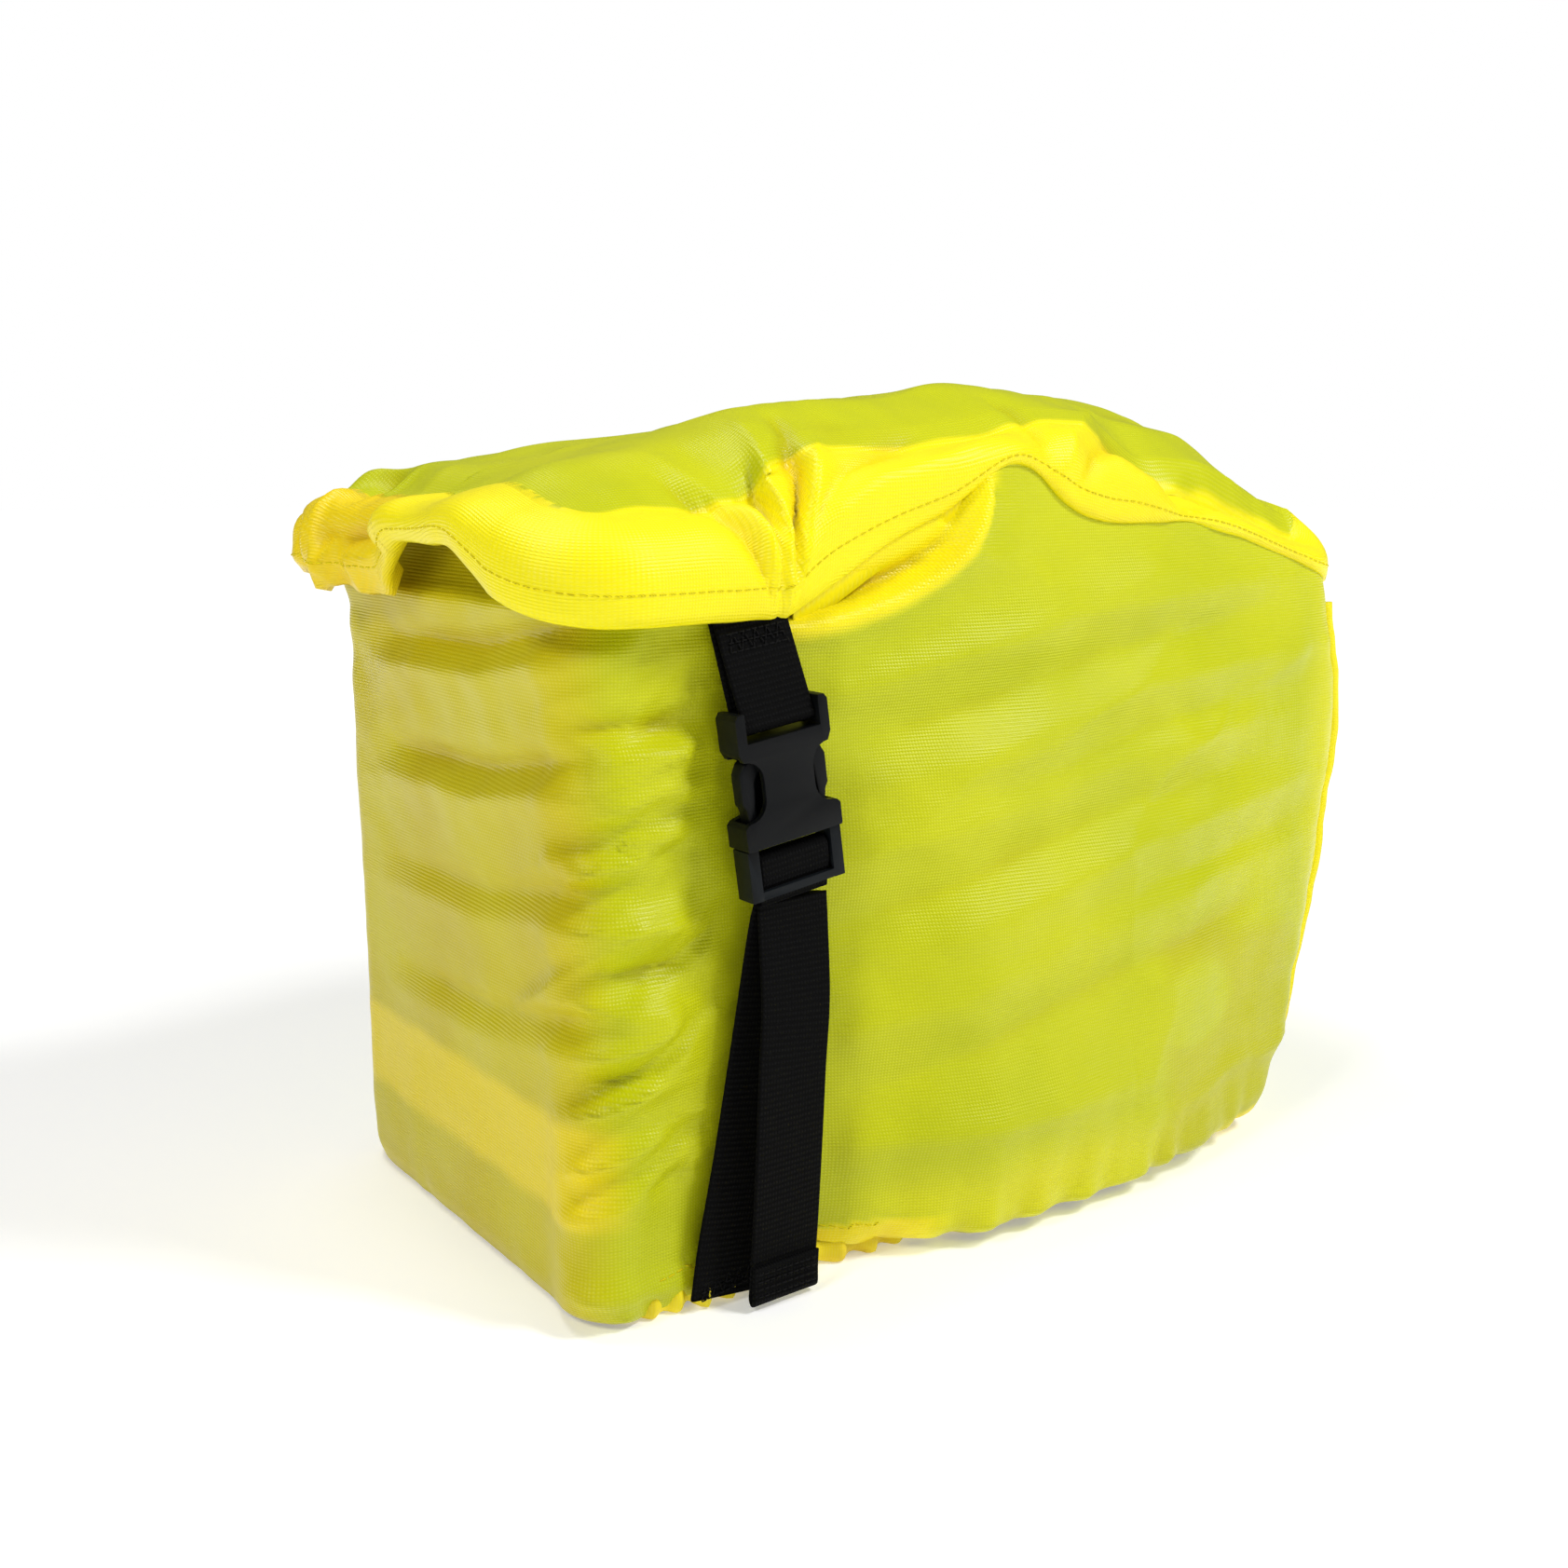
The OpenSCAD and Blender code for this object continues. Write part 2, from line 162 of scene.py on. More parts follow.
class Shader:
    """A node material being built, with short calls for the nodes that recur."""

    def __init__(self, name, roughness=0.5, specular=0.5):
        self.mat = bpy.data.materials.new(name)
        self.mat.use_nodes = True
        self.nodes = self.mat.node_tree.nodes
        self.links = self.mat.node_tree.links
        self.bsdf = self.nodes["Principled BSDF"]
        self.bsdf.inputs["Roughness"].default_value = roughness
        self.bsdf.inputs["Specular IOR Level"].default_value = specular

    def add(self, kind, **settings):
        node = self.nodes.new("ShaderNode" + kind)
        for key, value in settings.items():
            setattr(node, key, value)
        return node

    def join(self, a, b):
        self.links.new(a, b)

    def value(self, name):
        """The number stored on the mesh under a name."""
        return self.add("Attribute", attribute_name=name).outputs["Fac"]

    def math(self, op, a, b=None):
        node = self.add("Math", operation=op)
        for socket, v in zip(node.inputs, (a, b)):
            if isinstance(v, (int, float)):
                socket.default_value = v
            elif v is not None:
                self.join(v, socket)
        return node.outputs[0]

    def mix(self, factor, a, b, blend="MIX"):
        """A mix of two colours, each a socket or an (r, g, b)."""
        node = self.add("Mix", data_type="RGBA", blend_type=blend)
        for socket, v in zip((node.inputs[0], node.inputs[6], node.inputs[7]), (factor, a, b)):
            if isinstance(v, tuple):
                socket.default_value = (*v, 1)
            elif isinstance(v, (int, float)):
                socket.default_value = v
            else:
                self.join(v, socket)
        return node.outputs[2]

    def ramp(self, factor, lo, hi, a=0.0, b=1.0):
        node = self.add("MapRange", interpolation_type="SMOOTHSTEP")
        self.join(factor, node.inputs["Value"])
        for key, v in zip(("From Min", "From Max", "To Min", "To Max"), (lo, hi, a, b)):
            node.inputs[key].default_value = v
        return node.outputs["Result"]

    def uv(self):
        """The UV map, which is in metres."""
        return self.add("TexCoord").outputs["UV"]

    def object_space(self, scale=(1, 1, 1)):
        node = self.add("Mapping")
        node.inputs["Scale"].default_value = scale
        self.join(self.add("TexCoord").outputs["Object"], node.inputs["Vector"])
        return node.outputs["Vector"]

    def wave(self, vector, per_metre, direction="X", distortion=0.0):
        """Bands across one axis of a vector in metres, so many to the metre."""
        node = self.add("TexWave", bands_direction=direction, wave_profile="SIN")
        node.inputs["Scale"].default_value = per_metre / 3.183
        node.inputs["Distortion"].default_value = distortion
        self.join(vector, node.inputs["Vector"])
        return node.outputs["Fac"]

    def noise(self, vector, scale, detail=3.0):
        node = self.add("TexNoise")
        node.inputs["Scale"].default_value = scale
        node.inputs["Detail"].default_value = detail
        self.join(vector, node.inputs["Vector"])
        return node.outputs["Fac"]

    def bump(self, height, strength, distance, below=None):
        node = self.add("Bump")
        node.inputs["Strength"].default_value = strength
        node.inputs["Distance"].default_value = distance
        self.join(height, node.inputs["Height"])
        if below is not None:
            self.join(below, node.inputs["Normal"])
        return node.outputs["Normal"]

    def finish(self, colour=None, normal=None, roughness=None):
        for key, socket in (("Base Color", colour), ("Normal", normal), ("Roughness", roughness)):
            if isinstance(socket, tuple):
                self.bsdf.inputs[key].default_value = (*socket, 1)
            elif socket is not None:
                self.join(socket, self.bsdf.inputs[key])
        return self.mat


def srgb(r, g, b):
    """A linear colour from an sRGB one of 0 to 255."""
    return tuple(c / 12.92 if c <= 0.04045 else ((c + 0.055) / 1.055) ** 2.4
                 for c in (r / 255, g / 255, b / 255))


def cover_material():
    """Thin coated nylon: plain weave with painted sheen on its yarns, a satin face, the dark bag showing
    through where it lies close, and painted shade in its creases.
    """
    s = Shader("cover_cloth", roughness=0.33, specular=0.22)
    weave = s.math("MULTIPLY", s.wave(s.uv(), 1000), s.wave(s.uv(), 1000, "Y"))
    rib = s.wave(s.uv(), 1000, "Y")
    patchy = s.noise(s.object_space(), 14, 3)
    over_bag = s.mix(s.value("front"), srgb(189, 196, 2), srgb(201, 184, 2))
    over_bag = s.mix(s.ramp(patchy, 0.35, 0.7), over_bag, s.mix(0.3, over_bag, srgb(222, 220, 10)))
    over_bag = s.mix(s.value("patch"), over_bag, srgb(186, 178, 12))
    over_bag = s.mix(s.value("band"), over_bag, srgb(240, 216, 16))
    doubled = s.mix(s.ramp(patchy, 0.4, 0.75), srgb(252, 242, 2), srgb(250, 232, 2))
    doubled = s.mix(s.value("warm"), doubled, srgb(238, 208, 16))
    colour = s.mix(s.value("double"), over_bag, doubled)
    # The weave pattern is real; its crossings are lightened towards pale yellow-white as painted sheen
    colour = s.mix(s.math("MULTIPLY", weave, 0.3), colour, s.mix(0.5, colour, srgb(255, 255, 120)))
    speckle = s.math("MULTIPLY", s.noise(s.uv(), 260, 2), 0.12)
    colour = s.mix(speckle, colour, s.mix(0.5, colour, srgb(150, 146, 20)))
    # Painted shade: the colour darkens towards orange-brown in the creases, more the deeper each fold sinks
    colour = s.mix(s.value("painted_crease_shade"), colour, s.mix(1.0, colour, (0.7, 0.5, 0.1), "MULTIPLY"))
    wrinkle = s.bump(s.noise(s.object_space(), 55, 4), 0.25, 0.0012)
    cloth = s.bump(s.math("ADD", weave, s.math("MULTIPLY", rib, 0.5)), 0.5, 0.00018, wrinkle)
    rough = s.ramp(s.noise(s.uv(), 30, 3), 0.3, 0.7, 0.29, 0.4)
    return s.finish(colour, cloth, rough)


def hem_material():
    """The doubled cloth of the hem, gathered and more opaque."""
    s = Shader("cover_cloth_double", roughness=0.45, specular=0.3)
    weave = s.math("MULTIPLY", s.wave(s.uv(), 1250), s.wave(s.uv(), 1250, "Y"))
    patchy = s.noise(s.object_space(), 60, 3)
    colour = s.mix(s.ramp(patchy, 0.35, 0.7), srgb(246, 226, 6), srgb(226, 196, 8))
    # The weave pattern is real; its crossings are lightened towards pale yellow-white as painted sheen
    colour = s.mix(s.math("MULTIPLY", weave, 0.14), colour, srgb(255, 250, 150))
    cloth = s.bump(weave, 0.3, 0.00018, s.bump(s.noise(s.object_space(), 160, 3), 0.35, 0.0012))
    return s.finish(colour, cloth)


def webbing_material(name="webbing", dark=(1, 1, 1), light=(11, 11, 12)):
    """Woven strap: ribs across it, and yarns that pass over and under along each rib."""
    s = Shader(name, roughness=0.85, specular=0.1)
    across = s.wave(s.uv(), 560, "Y", 0.4)
    along = s.wave(s.uv(), 900, "X", 0.3)
    yarn = s.math("MULTIPLY", across, s.math("ADD", s.math("MULTIPLY", along, 0.45), 0.55))
    dust = s.noise(s.uv(), 900, 2)
    colour = s.mix(s.ramp(yarn, 0.35, 1.0), srgb(*dark), srgb(*light))
    colour = s.mix(s.math("MULTIPLY", s.ramp(dust, 0.55, 0.8), 0.35), colour, srgb(22, 23, 24))
    return s.finish(colour, s.bump(yarn, 0.7, 0.0005))


def thread_material(name, rgb):
    """Twisted sewing thread."""
    s = Shader(name, roughness=0.7, specular=0.15)
    twist = s.wave(s.object_space(), 2600, "DIAGONAL")
    colour = s.mix(twist, srgb(*rgb), srgb(*(int(c * 0.75) for c in rgb)))
    return s.finish(colour, s.bump(twist, 0.4, 0.0001))


def buckle_material():
    """Moulded acetal: blue-black, a fine spark texture, and a painted highlight that lightens its edges."""
    s = Shader("buckle_plastic", roughness=0.4, specular=0.13)
    grain = s.noise(s.object_space(), 2600, 2)
    cloud = s.noise(s.object_space(), 90, 3)
    # Painted highlight: the edges, found by pointiness, are lightened as if they caught the light
    edge = s.ramp(s.add("NewGeometry").outputs["Pointiness"], 0.52, 0.62)
    colour = s.mix(s.ramp(cloud, 0.3, 0.7), srgb(5, 6, 7), srgb(9, 11, 13))
    colour = s.mix(s.math("MULTIPLY", edge, 0.3), colour, srgb(32, 38, 42))
    rough = s.ramp(cloud, 0.3, 0.7, 0.38, 0.5)
    return s.finish(colour, s.bump(grain, 0.25, 0.00012), rough)


def padded_cloth_material():
    """The liner bag's dark packcloth: a coarse basket weave with a dull coated face."""
    s = Shader("liner_cloth", roughness=0.75, specular=0.2)
    weave = s.math("MULTIPLY", s.wave(s.uv(), 620), s.wave(s.uv(), 620, "Y"))
    cloud = s.noise(s.object_space(), 22, 4)
    colour = s.mix(s.ramp(cloud, 0.3, 0.7), srgb(33, 35, 38), srgb(46, 48, 52))
    colour = s.mix(s.math("MULTIPLY", weave, 0.6), colour, srgb(84, 88, 94))
    under = s.bump(s.noise(s.object_space(), 40, 3), 0.4, 0.002)
    return s.finish(colour, s.bump(weave, 0.6, 0.0004, under))


def board_material():
    """Stiffening board: pressed fibre with a dull black face."""
    s = Shader("liner_board", roughness=0.85)
    fibre = s.noise(s.object_space((1, 6, 1)), 120, 5)
    colour = s.mix(fibre, srgb(30, 30, 31), srgb(54, 53, 52))
    return s.finish(colour, s.bump(fibre, 0.5, 0.0005))


def reflective_material():
    """Reflective trim: silver-yellow film over a honeycomb of fine cells."""
    s = Shader("reflective", roughness=0.32, specular=0.7)
    cells = s.add("TexVoronoi", feature="DISTANCE_TO_EDGE")
    cells.inputs["Scale"].default_value = 420
    s.join(s.uv(), cells.inputs["Vector"])
    wall = s.ramp(cells.outputs["Distance"], 0.02, 0.09)
    colour = s.mix(wall, srgb(170, 150, 40), srgb(240, 222, 90))
    return s.finish(colour, s.bump(wall, 0.4, 0.0003))


def elastic_material():
    """Braided elastic cord."""
    s = Shader("hem_elastic", roughness=0.7)
    braid = s.wave(s.object_space(), 500, "DIAGONAL", 1.5)
    colour = s.mix(braid, srgb(205, 203, 196), srgb(240, 239, 233))
    return s.finish(colour, s.bump(braid, 0.6, 0.0006))


COVER = cover_material()
HEM = hem_material()
WEBBING = webbing_material()
THREAD_YELLOW = thread_material("thread_yellow", (244, 226, 14))
THREAD_BLACK = thread_material("thread_black", (8, 8, 9))
BUCKLE = buckle_material()
PACKCLOTH = padded_cloth_material()
BOARD = board_material()
REFLECTIVE = reflective_material()
ELASTIC = elastic_material()


def dress(obj, material, body, slot, *nodes):
    """Gives a piece its material and its body, and hides the CAD nodes that it stands for.
    A piece that blends between two bodies has None for its body. slot, the name of its finish, is not used."""
    obj.data.materials.clear()
    obj.data.materials.append(material)
    if body:
        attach(obj, body)
    if nodes:
        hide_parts(*nodes)
    return obj


# ---------------------------------------------------------------- cover: outline, in mm

HALF_W = 89.0
CORNER_R = 20.0
QUARTER = math.pi / 2
# The unrolled cloth's coordinate s is x + STRAP_S on the strap side, FRONT_S - y on the front end and
# PLAIN_S - x on the plain side, and each front corner takes up 2 * CORNER_S of it
STRAP_S, FRONT_S, PLAIN_S, CORNER_S = 144, -85, -314, 16
# Height of the cloth's lower edge, where the hem's tunnel begins
HEM_LINE = [[-620, 6], [-500, 6], [-300, 5], [-190, 3], [-150, 1], [-10, 1], [20, 3], [48, 8], [80, 9],
            [115, 3], [360, 3]]
SEAM_Z = 205.0
# X of the front end at each height
FRONT_X = [[0, -145], [8, -147.5], [20, -148], [240, -148]]
# The rear end: X at the floor, X and height where it is fullest, and how far it draws in above that
REAR_FOOT_X, REAR_FULL_X, REAR_FULL_Z, REAR_DRAW_IN, REAR_TOP_Z = 150.0, 196.0, 150.0, 12.0, 210.0


def rear_at(z):
    """X of the rear end: a quarter wave out to its fullest, and another one drawing in above it."""
    low = np.sin(np.clip(z / REAR_FULL_Z, 0, 1) * QUARTER)
    above = np.clip((z - REAR_FULL_Z) / (REAR_TOP_Z - REAR_FULL_Z), 0, 1)
    high = 1 - np.cos(above * QUARTER)
    return REAR_FOOT_X + (REAR_FULL_X - REAR_FOOT_X) * low - REAR_DRAW_IN * high


# How far the long sides belly out, by height, and the share of it along X
BELLY = [[0, 0], [5, 6], [12, 17], [26, 23], [60, 21], [140, 10], [205, 3]]
SPREAD = [[-150, 0], [-85, 0], [-50, 0.5], [-10, 1.1], [60, 1.1], [120, 0.7], [190, 0]]
# How much lower the belly hangs along X: a height near the floor counts as this many times itself
DROOP = [[-90, 1.0], [-62, 1.1], [-34, 2.2], [-5, 3.8], [40, 3.8], [80, 2.8], [140, 1.5], [190, 1.2]]

# How many columns each stretch of the outline has
SIDE_N, CORNER_N, END_N = 224, 24, 96


def outline_columns():
    """The columns of the cover, in order: strap side from rear to front, front end, plain side, rear end.
    Each has fx, how far along the side it stands; ox, its offset in X; yb, its Y before the belly; its
    outward direction; and sa, sb, with which s = sa * x + sb is its place along the unrolled cloth."""
    r, w = CORNER_R, HALF_W - CORNER_R
    turn = np.linspace(0, QUARTER, CORNER_N, endpoint=False)
    back = QUARTER - turn
    side = np.linspace(0, 1, SIDE_N, endpoint=False)
    end = np.linspace(-w, w, END_N, endpoint=False)
    arc = r * QUARTER
    parts = []

    def add(fx, ox, yb, nx, ny, sa, sb):
        parts.append(np.array(np.broadcast_arrays(fx, ox, yb, nx, ny, sa, sb), float))

    near_s = CORNER_S - 2 * CORNER_S * turn / QUARTER
    far_s = 2 * FRONT_S + CORNER_S - 2 * CORNER_S * turn / QUARTER
    add(1 - side, 0, -HALF_W, 0, -1, 1, STRAP_S)
    add(0, -r * np.sin(turn), -w - r * np.cos(turn), -np.sin(turn), -np.cos(turn), 0, near_s)
    add(0, -r, end, -1, 0, 0, -end + FRONT_S)
    add(0, -r * np.sin(back), w + r * np.cos(back), -np.sin(back), np.cos(back), 0, far_s)
    add(side, 0, HALF_W, 0, 1, -1, PLAIN_S)
    add(1, r * np.sin(turn), w + r * np.cos(turn), np.sin(turn), np.cos(turn), -1, PLAIN_S - r * turn)
    add(1, r, -end, 1, 0, -1, PLAIN_S - arc - w - end)
    add(1, r * np.sin(back), -w - r * np.cos(back), np.sin(back), -np.cos(back), 1, STRAP_S + r * back)
    return np.concatenate(parts, axis=1)


def outline_points(cols, z):
    """X, Y and s of the cloth at columns and heights, before any folds."""
    fx, ox, yb, _, _, sa, sb = cols
    x0, x1 = curve(FRONT_X, z) + CORNER_R, rear_at(z) - CORNER_R
    along = x0 + fx * (x1 - x0)
    x = along + ox
    hang = np.where(z < 30, np.minimum(z * curve(DROOP, x), np.maximum(z, 26)), z)
    belly = curve(BELLY, hang) * curve(SPREAD, x) * np.minimum(1, np.abs(yb) / HALF_W) ** 4
    return x, yb + np.sign(yb) * belly, sa * along + sb


COLS = outline_columns()
N = COLS.shape[1]
# X, Y and s of each column at the height of the seam
SEAM_X, SEAM_Y, SEAM_S = outline_points(COLS, np.full(N, SEAM_Z))

# What follows is laid out along s: the pinch by the strap is at 58, the near corner from 16 to -16, the
# far one from -154 to -186, and the plain side below that.
# How far the edge of the top stands out of the wall
EDGE_OUT = [[-520, 1], [-330, 1], [-230, 3], [-186, 9], [-170, 14], [-150, 17], [-120, 12], [-104, 9],
            [-92, 14], [-75, 17], [-33, 18], [-16, 16], [0, 12], [16, 11], [40, 10], [58, 8], [70, 4],
            [90, 2], [360, 1]]
# How far out the crest stands: the inner edge of the doubled band round the top
CREST_OUT = [[-520, -12], [-300, -12], [-200, -11], [-186, -7], [-170, 4], [-158, 6], [-139, -1], [-16, -3],
             [0, -5], [16, -8], [51, -10], [90, -12], [300, -12], [360, -10]]


# Heights that the edge and the crest of the top start from, and the seam's shoulder and the peak on it
EDGE_Z, CREST_Z, SHOULDER_RISE, PEAK_RISE, PEAK_S = 210, 240, 24, 20, 152


def edge_height(s):
    """Height of the top's edge: the seam climbs from the pinch to a shoulder with a peak on it, the fold
    at the front hangs a little higher in its middle, and the plain side rises once."""
    strap = (SHOULDER_RISE * smooth(56, 120, s) * smooth(345, 225, s) + PEAK_RISE * hump(s, PEAK_S, 24)
             - 4 * smooth(300, 340, s))
    front = 3 * smooth(10, -20, s) + 18 * smooth(-104, -76, s) * smooth(-2, -40, s) + 3 * hump(s, -160, 12)
    plain = 16 * hump(s, -358, 62) - 4 * smooth(-440, -520, s)
    return EDGE_Z + strap + front + plain


def crest_height(s):
    """Height of the crest: a plateau behind the pinch, a dip at the far tip, and a low end at the rear."""
    strap = 18 * smooth(54, 84, s) * smooth(236, 204, s) + 8 * hump(s, 176, 26)
    rear = -16 * smooth(240, 320, s) + 10 * smooth(335, 360, s) + 8 * smooth(-520, -560, s)
    front = 2 * smooth(10, -30, s) + 6 * hump(s, -37, 22) - 13 * hump(s, -171, 9)
    plain = -4 * smooth(-176, -200, s) + 20 * hump(s, -350, 80)
    return CREST_Z + strap + rear + front + plain


# Where the ridge of the top is highest
RIDGE_TOP_Z, RIDGE_TOP_X = 280.0, 70.0


def ridge_height(x):
    """Height of the ridge of the top along X: highest behind the middle, lower to both ends."""
    ahead = np.clip((RIDGE_TOP_X - x) / 230, 0, 1) ** 1.6
    behind = np.clip((x - RIDGE_TOP_X) / 112, 0, 1) ** 2.6
    return RIDGE_TOP_Z - 34 * ahead - 30 * behind


# Height of the crest in the middle of the rear end
REAR_CREST_Z = 246.0


def front_share(s):
    """1 where the top folds down over the wall, from the pinch round the front, and 0 elsewhere."""
    return smooth(66, 52, s) * smooth(-215, -180, s)


# ---------------------------------------------------------------- cover: walls

WALL_ROWS = 120
# Swags over the front end, with the highest one's height and the step between them; pleats by the strap;
# and ridges over the broad side
SWAGS, SWAG_Z, SWAG_STEP, PLEATS, RIDGES = 4, 188, 38, 10, 5


def wall_folds():
    """The folds of the walls, family by family, each as its height in mm, its widths above and below, and
    its path in (s, z)."""
    rng = np.random.default_rng(11)
    folds = []

    def add(amp, above, below, s0, z0, run, rise, sag=0.0):
        path = [(s0, z0), (s0 + run / 2, z0 + rise / 2 - sag), (s0 + run, z0 + rise)]
        folds.append((amp, above, below, path))

    # Swags hang across the front end and climb to the near corner, a valley over each
    for k in range(SWAGS):
        z = SWAG_Z - SWAG_STEP * k
        add(4.4, 5, 10, -136, z, 152, 16, 5)
        add(-4.0, 4, 5, -124, z + 10, 134, 14, 5)
    # Pleats run off the near corner towards the strap, and every other one has a valley over it
    for k in range(PLEATS):
        z = 14 + 18 * k + rng.uniform(-3, 3)
        add(4.0, 4, 5.5, rng.uniform(-12, 2), z, rng.uniform(30, 42), rng.uniform(-6, 14), rng.uniform(-2, 3))
        if k % 2:
            add(-3.4, 4, 4.5, rng.uniform(-6, 4), z + 8, 34, rng.uniform(-2, 8))
    # Long soft ridges climb the broad side towards the rear, with valleys between them
    for k in range(RIDGES):
        add(3.8, 9, 14, 64 + 30 * (k % 2), 74 + 27 * k, 214, 38 - 2 * k, -7)
        add(-3.0, 10, 10, 88 + 24 * (k % 2), 60 + 27 * k, 190, 34, -5)
    # The belly rolls out over the hem
    add(5.0, 12, 14, 60, 42, 134, 3)
    # The plain side and the rear end are quieter
    for k in range(6):
        add(3.2, 9, 11, -206 - 26 * (k % 2), 38 + 28 * k, -205, rng.uniform(8, 30), rng.uniform(-6, 6))
    for k in range(2):
        add(2.5, 7, 9, -500, 60 + 86 * k, -104, 22, -8)
    return folds


WALL_FOLDS = wall_folds()
# The pocket beside the pinch: a quarter of an ellipse from the pinch out and up to the seam's peak
POCKET_S, POCKET_TOP_Z, POCKET_RUN, POCKET_RISE = 54.0, 251.0, 87.0, 45.0


def pocket_line(s):
    """Height of the pocket's roll at s."""
    return POCKET_TOP_Z - POCKET_RISE * np.sqrt(np.clip(1 - ((s - POCKET_S) / POCKET_RUN) ** 2, 0, 1))


# The slack of the wall stands out in a roll along the pocket, with a valley above it and a crease beside
# its end
ROLL = [(POCKET_S + POCKET_RUN * math.sin(a), POCKET_TOP_Z - POCKET_RISE * math.cos(a))
        for a in np.linspace(0, QUARTER, 9)]
POCKET_FOLDS = [
    (7.0, 4, 8, ROLL),
    (-8.0, 3.2, 4.5, [(a + 2, b + 6) for a, b in ROLL[:6]]),
    (-3.5, 3, 3, [(a - 9, b) for a, b in ROLL[6:]]),
]


# Height of the wall's top edge behind the fold at the front
BEHIND_FOLD = [[-200, 226], [-150, 234], [-20, 236], [20, 224], [60, 218]]


def wall_top(s):
    """Height of the wall's top edge: the seam, or up behind the fold at the front."""
    return edge_height(s) * (1 - front_share(s)) + curve(BEHIND_FOLD, s) * front_share(s)


